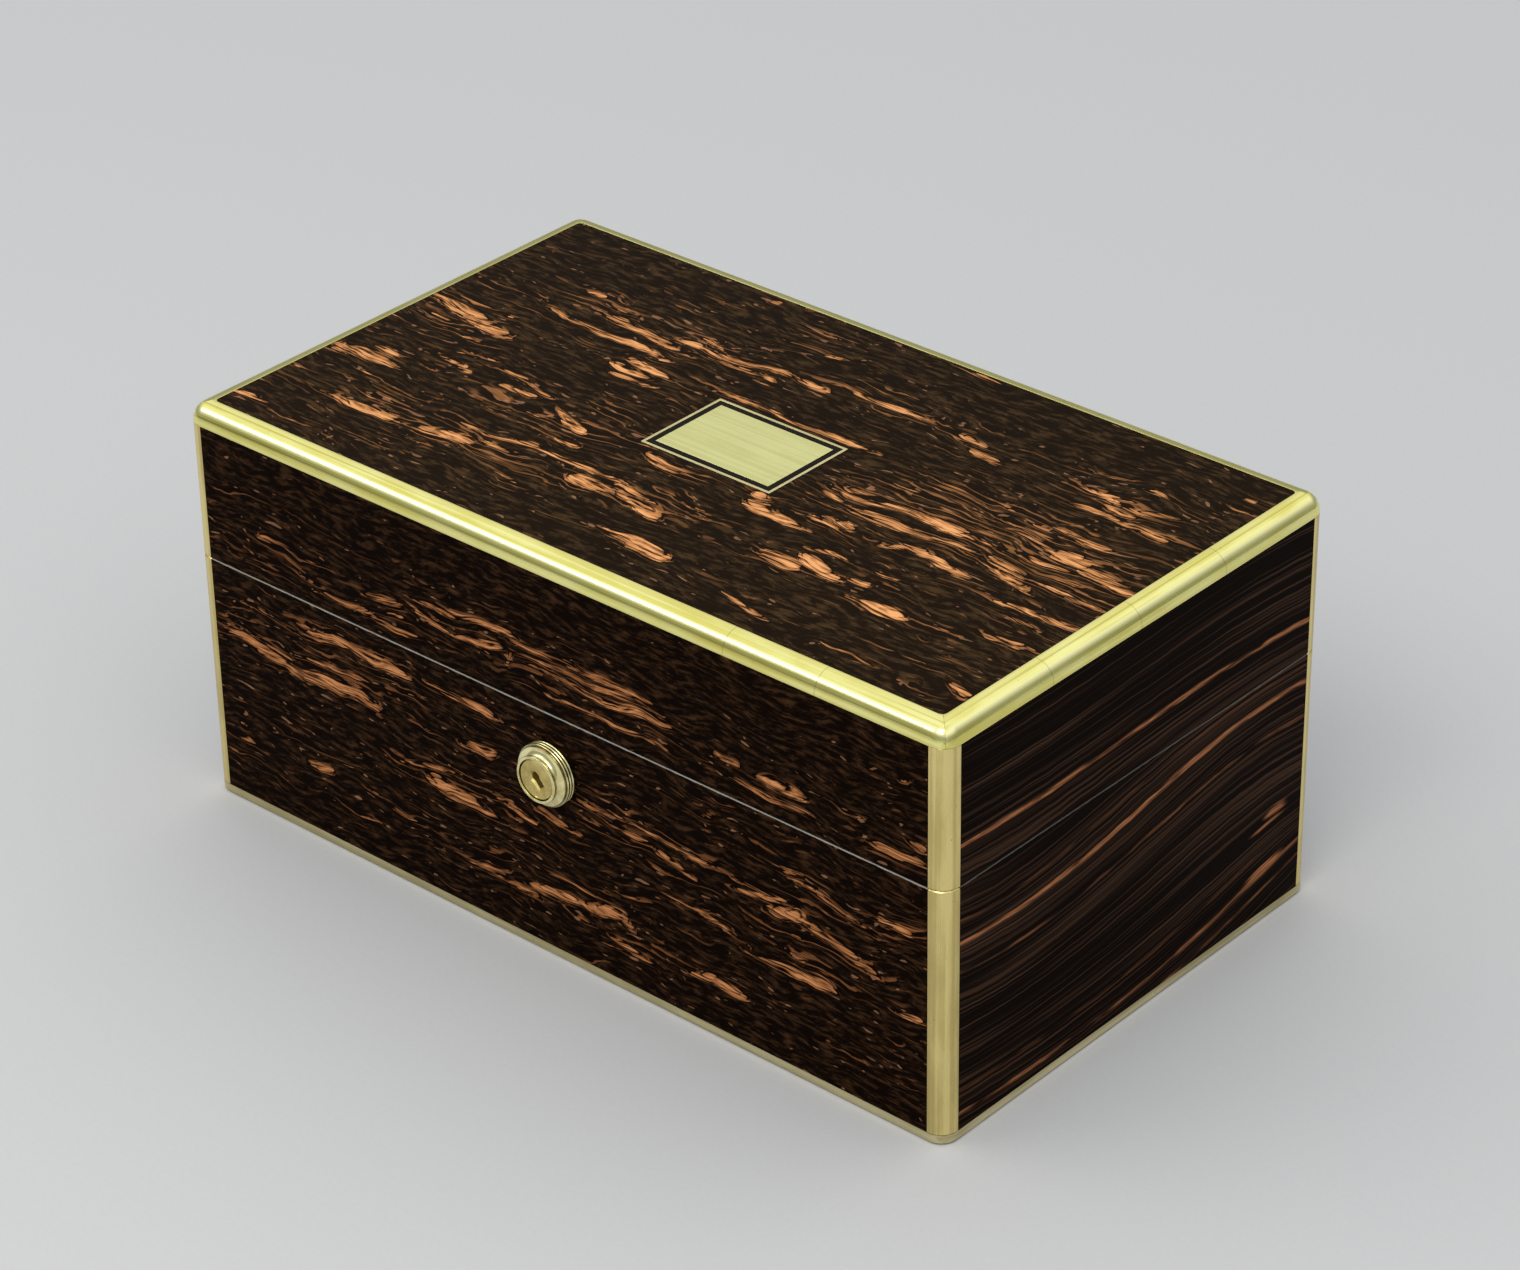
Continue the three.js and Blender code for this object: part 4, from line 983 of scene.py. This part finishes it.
def puff(piece, held, growth, cap, room):
    """Fills the piece as cloth. The held points stay, and no point leaves the room it has."""
    start = [vertex.co.copy() for vertex in piece.data.vertices]
    piece.vertex_groups.new(name="held").add(held, 1, "REPLACE")
    cloth = modify(piece, "cloth", "CLOTH").settings
    for key, value in {
        "quality": 6, "mass": 0.2, "tension_stiffness": 12, "compression_stiffness": 12,
        "bending_stiffness": 0.05, "vertex_group_mass": "held", "use_pressure": True,
        "uniform_pressure_force": air_pressure, "shrink_min": -growth,
    }.items():
        setattr(cloth, key, value)
    cloth.effector_weights.gravity = 0
    for step in range(1, 21):
        bpy.context.scene.frame_set(step)
    settle(piece)
    bpy.context.scene.frame_set(1)
    low, high = room
    for vertex, place in zip(piece.data.vertices, start):
        move = vertex.co - place
        edge = min(min(place[axis] - low[axis], high[axis] - place[axis]) for axis in (0, 1)) / mm
        limit = cap * (0.15 + 0.85 * min(edge / 15, 1)) * mm
        if move.length > limit:
            vertex.co = place + move.normalized() * limit
        for axis in range(3):
            vertex.co[axis] = min(max(vertex.co[axis], low[axis]), high[axis])
    return max((v.co - p).length for v, p in zip(piece.data.vertices, start)) / mm


def pad(node, body, finish, voxel, shrink, glued, growth, cap, rows=()):
    piece = even_copy(node, f"{node}_cloth", voxel, shrink)
    vertices = piece.data.vertices
    heights = [vertex.co.z for vertex in vertices]
    back = max(heights) if glued == "above" else min(heights)
    buttons = [button for row in rows for button in row]
    if buttons:
        tuft(piece, buttons, rows)
    held = [v.index for v in vertices if abs(v.co.z - back) < 0.5 * mm
            or any((v.co.xy / mm - button).length < 2.5 for button in buttons)]
    low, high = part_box(node)
    room = (low - Vector((0.2, 0.2, 0.2)) * mm, high + Vector((0.2, 0.2, 0)) * mm)
    print(node, "moved by", round(puff(piece, held, growth, cap, room), 2), "mm")
    piece.data.shade_smooth()
    modify(piece, "round", "SUBSURF", levels=1, render_levels=1)
    paint(piece, finish)
    stand_for(piece, node, body)
    return piece


five, six = (-96, -48, 0, 48, 96), (-120, -72, -24, 24, 72, 120)
button_rows = [[Vector((x, y)) for x in xs] for y, xs in ((-40, five), (0, six), (40, five))]
pad("well_floor_pad", "base", "lining_velvet", voxel=4, shrink=(0.998, 0.996, 0.85),
    glued="below", growth=0.01, cap=1.2)
lid_pad = pad("lid_lining_pad", "lid", "lid_pad_satin", voxel=2.4,
              shrink=(0.998, 0.997, 0.95), glued="above", growth=0.04, cap=2.2,
              rows=button_rows)
pad("ring_pad", "tray", "ring_pad_velvet", voxel=1.2, shrink=(0.998, 0.995, 0.96),
    glued="below", growth=0.0, cap=0.5)

# %% [markdown]
# ## Buttons
# The lid's pad is buttoned: a thread through each button draws the satin down to the card, and
# folds run from each one to its neighbours. Each button is covered in the same satin and is set
# down where the cloth is lowest.


# %% Sew on the buttons
button_radius, button_flatness, button_sink = 3.6, 0.42, 0.3


def button_mesh():
    """A low round button on z = 0 that bulges towards -Z, in metres."""
    shape = bmesh.new()
    bmesh.ops.create_uvsphere(shape, u_segments=20, v_segments=10, radius=button_radius * mm)
    bmesh.ops.scale(shape, vec=(1, 1, button_flatness), verts=shape.verts)
    mesh = bpy.data.meshes.new("pad_button")
    shape.to_mesh(mesh)
    shape.free()
    mesh.shade_smooth()
    mesh.materials.append(finishes["lid_pad_satin"])
    return mesh


covered_button = button_mesh()
for row, line in enumerate(button_rows):
    for column, place in enumerate(line):
        near = min(lid_pad.data.vertices,
                   key=lambda v: ((v.co.xy / mm - place).length > button_radius / 2, v.co.z))
        piece = put(f"lid_pad_button_{row}_{column}", covered_button)
        piece.location = (place.x * mm, place.y * mm, near.co.z - button_sink * mm)
        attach(piece, "lid")
print("buttons sewn on:", sum(len(line) for line in button_rows))

# %% [markdown]
# ## Cord and ribbons
# A twisted silk cord hides the joint between the lid's pad and its lining. Two folded ribbons are
# sewn into the tray's ends to lift it by. The cord is two strands round each other: a round section
# with two hollows, which turns as it goes. A ribbon is a strip swept along a drooping loop.


# %% Twist the cord
def rounded_path(half_x, half_y, radius, step):
    """Points a step apart round a rectangle with round corners."""
    corners = [(1, 1, 0), (-1, 1, 90), (-1, -1, 180), (1, -1, 270)]
    points = []
    for sign_x, sign_y, start in corners:
        for k in range(9):
            angle = math.radians(start + k * 90 / 8)
            x = sign_x * (half_x - radius) + radius * math.cos(angle)
            y = sign_y * (half_y - radius) + radius * math.sin(angle)
            points.append(Vector((x, y)))
    return even_points(points + points[:1], step)


def even_points(points, step):
    """The same line with points a step apart."""
    total = sum((b - a).length for a, b in zip(points, points[1:]))
    count = round(total / step)
    pitch = total / count
    made, travelled, target = [], 0.0, 0.0
    for a, b in zip(points, points[1:]):
        length = (b - a).length
        while target <= travelled + length and len(made) <= count:
            made.append(a.lerp(b, (target - travelled) / length))
            target += pitch
        travelled += length
    return made


cord_radius, cord_twist, cord_sides = 1.7, 7, 10
cord_inset, cord_corner, cord_step, cord_drop = 1.4, 3, 0.9, 4.0
pad_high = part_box("lid_lining_pad")[1] / mm
cord_line = rounded_path(pad_high.x - cord_inset, pad_high.y - cord_inset, cord_corner, cord_step)[:-1]
cord_z = pad_high.z - cord_drop
rows = []
for index, place in enumerate(cord_line):
    ahead = cord_line[(index + 1) % len(cord_line)] - cord_line[index - 1]
    side = Vector((ahead.y, -ahead.x)).normalized()
    turn = whole_turn * index * cord_step / cord_twist
    row = []
    for k in range(cord_sides):
        angle = whole_turn * k / cord_sides
        swell = cord_radius * (0.78 + 0.22 * abs(math.cos(angle - turn)))
        flat = place + side * swell * math.cos(angle)
        row.append(Vector((flat.x, flat.y, cord_z + swell * math.sin(angle))) * mm)
    rows.append(row)


def skin_rows(name, rows, closed):
    """A mesh through rows of points, which may close on itself both ways."""
    across = len(rows[0])
    faces = []
    for i in range(len(rows) if closed else len(rows) - 1):
        for k in range(across if closed else across - 1):
            a, b = i * across, (i + 1) % len(rows) * across
            faces.append((a + k, a + (k + 1) % across, b + (k + 1) % across, b + k))
    mesh = bpy.data.meshes.new(name)
    mesh.from_pydata([tuple(point) for row in rows for point in row], [], faces)
    mesh.shade_smooth()
    return put(name, mesh)


cord = skin_rows("lid_pad_cord", rows, closed=True)
cord.data.materials.append(finishes["ribbon_satin"])
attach(cord, "lid")
print("cord of", len(rows), "rings twisted")

# %% Fold the ribbons
ribbon_width, ribbon_thickness = 12, 0.2
# How far each point of the loop lies inward from the tray's wall and above its rim.
ribbon_loop = [(0.3, -13), (0.3, -8), (0.35, -3), (0.9, 0.6), (3.0, 3.1), (6.2, 3.6), (9.2, 2.0),
               (10.8, -1.2), (10.6, -4.8), (8.6, -7.4), (5.4, -8.8), (2.6, -9.9), (1.1, -11.6),
               (0.8, -13.4)]


def smooth_line(points, parts):
    """A smooth line through points."""
    line = []
    last = len(points) - 1
    for i in range(last):
        p0, p1, p2, p3 = (Vector(points[min(max(i + k, 0), last)]) for k in (-1, 0, 1, 2))
        for k in range(parts):
            t = k / parts
            line.append(0.5 * (2 * p1 + (p2 - p0) * t + (2 * p0 - 5 * p1 + 4 * p2 - p3) * t * t
                               + (3 * p1 - p0 - 3 * p2 + p3) * t * t * t))
    return line + [Vector(points[-1])]


tray_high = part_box("tray_frame")[1] / mm
tray_wall = 4
ribbon_line = smooth_line(ribbon_loop, 4)
ribbon_length = sum((b - a).length for a, b in zip(ribbon_line, ribbon_line[1:]))
for name, sign in (("left", -1), ("right", 1)):
    wall_x = sign * (tray_high.x - tray_wall)
    rows = []
    for index, (inward, rise) in enumerate(ribbon_line):
        row = []
        arch = 0.5 * math.sin(math.pi * index / (len(ribbon_line) - 1))
        for k in range(9):
            across = k / 8 - 0.5
            cup = arch * (across * across - 0.1)
            x = wall_x - sign * (inward + cup)
            row.append(Vector((x, across * ribbon_width, tray_high.z + rise)) * mm)
        rows.append(row)
    ribbon = skin_rows(f"tray_ribbon_{name}", rows, closed=False)
    modify(ribbon, "thick", "SOLIDIFY", thickness=ribbon_thickness * mm)
    ribbon.data.materials.append(finishes["ribbon_satin"])
    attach(ribbon, "tray")
print("ribbons of", round(ribbon_length, 1), "mm folded")

# %% [markdown]
# ## Screws
# Small brass screws hold the hinge leaves, the lock and its link plate. Their heads are sunk flush,
# and in good work the slots all lie one way. A head is two halves of a low disc with the slot
# between them, and under them lies a dark disc: painted shade in the slot and round the rim.


# %% Drive the screws
def half_disc(shape, sign, radius, slot, rise):
    """Half of a screw's head, on one side of the slot, in millimetres."""
    start = math.asin(slot / 2 / radius)
    steps = 14
    angles = [start + (math.pi - 2 * start) * k / steps for k in range(steps + 1)]
    plan = [(radius * math.cos(angle), sign * radius * math.sin(angle)) for angle in angles]
    low = [shape.verts.new((x, y, 0)) for x, y in plan]
    high = [shape.verts.new((x, y, rise)) for x, y in plan]
    shape.faces.new(high if sign > 0 else high[::-1])
    for k in range(len(plan)):
        n = (k + 1) % len(plan)
        face = (low[k], low[n], high[n], high[k])
        shape.faces.new(face if sign > 0 else face[::-1])


def screw_head(radius, slot=0.5, rise=0.11):
    shape = bmesh.new()
    for sign in (1, -1):
        half_disc(shape, sign, radius, slot, rise)
    # A dark disc under the halves: painted shade in the slot and round the rim.
    rim = [whole_turn * k / 32 for k in range(32)]
    shade_disc = [shape.verts.new((radius * 1.08 * math.cos(a), radius * 1.08 * math.sin(a), 0.02)) for a in rim]
    shape.faces.new(shade_disc).material_index = 1
    bmesh.ops.scale(shape, vec=(mm, mm, mm), verts=shape.verts)
    mesh = bpy.data.meshes.new("screw_head")
    shape.to_mesh(mesh)
    shape.free()
    mesh.materials.append(finishes["hinge_brass"])
    mesh.materials.append(finishes["black_line"])
    return mesh


screw_mesh = screw_head(1.9)


def drive(name, place, body):
    """Puts a screw's head on the rim, which looks up on the base and down on the shut lid."""
    screw = put(name, screw_mesh)
    screw.location = place
    if body == "lid":
        screw.rotation_euler.x = math.pi
    modify(screw, "edge", "BEVEL", width=0.05 * mm, segments=2)
    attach(screw, body)


hinge_pitch, hinge_inset, lock_reach = 17.5 * mm, 4.2 * mm, 25.6 * mm
lock_low, lock_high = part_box("lock_case")
lock_y = (lock_low.y + lock_high.y) / 2
hinge_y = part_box("base_back_veneer")[1].y - hinge_inset
rims = {"base": lock_high.z, "lid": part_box("lid_front_veneer")[0].z}
for body, rim in rims.items():
    for side in ("left", "right"):
        low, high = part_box(f"hinge_{side}_{body}_leaf")
        for k in (-1, 0, 1):
            x = (low.x + high.x) / 2 + k * hinge_pitch
            drive(f"{body}_hinge_{side}_screw_{k + 2}", (x, hinge_y, rim), body)
for k in (-1, 1):
    drive(f"lock_case_screw_{k + 2}", (k * lock_reach, lock_y, rims["base"]), "base")
    drive(f"link_plate_screw_{k + 2}", (k * lock_reach, lock_y, rims["lid"]), "lid")
print("screws driven:", screw_mesh.users)
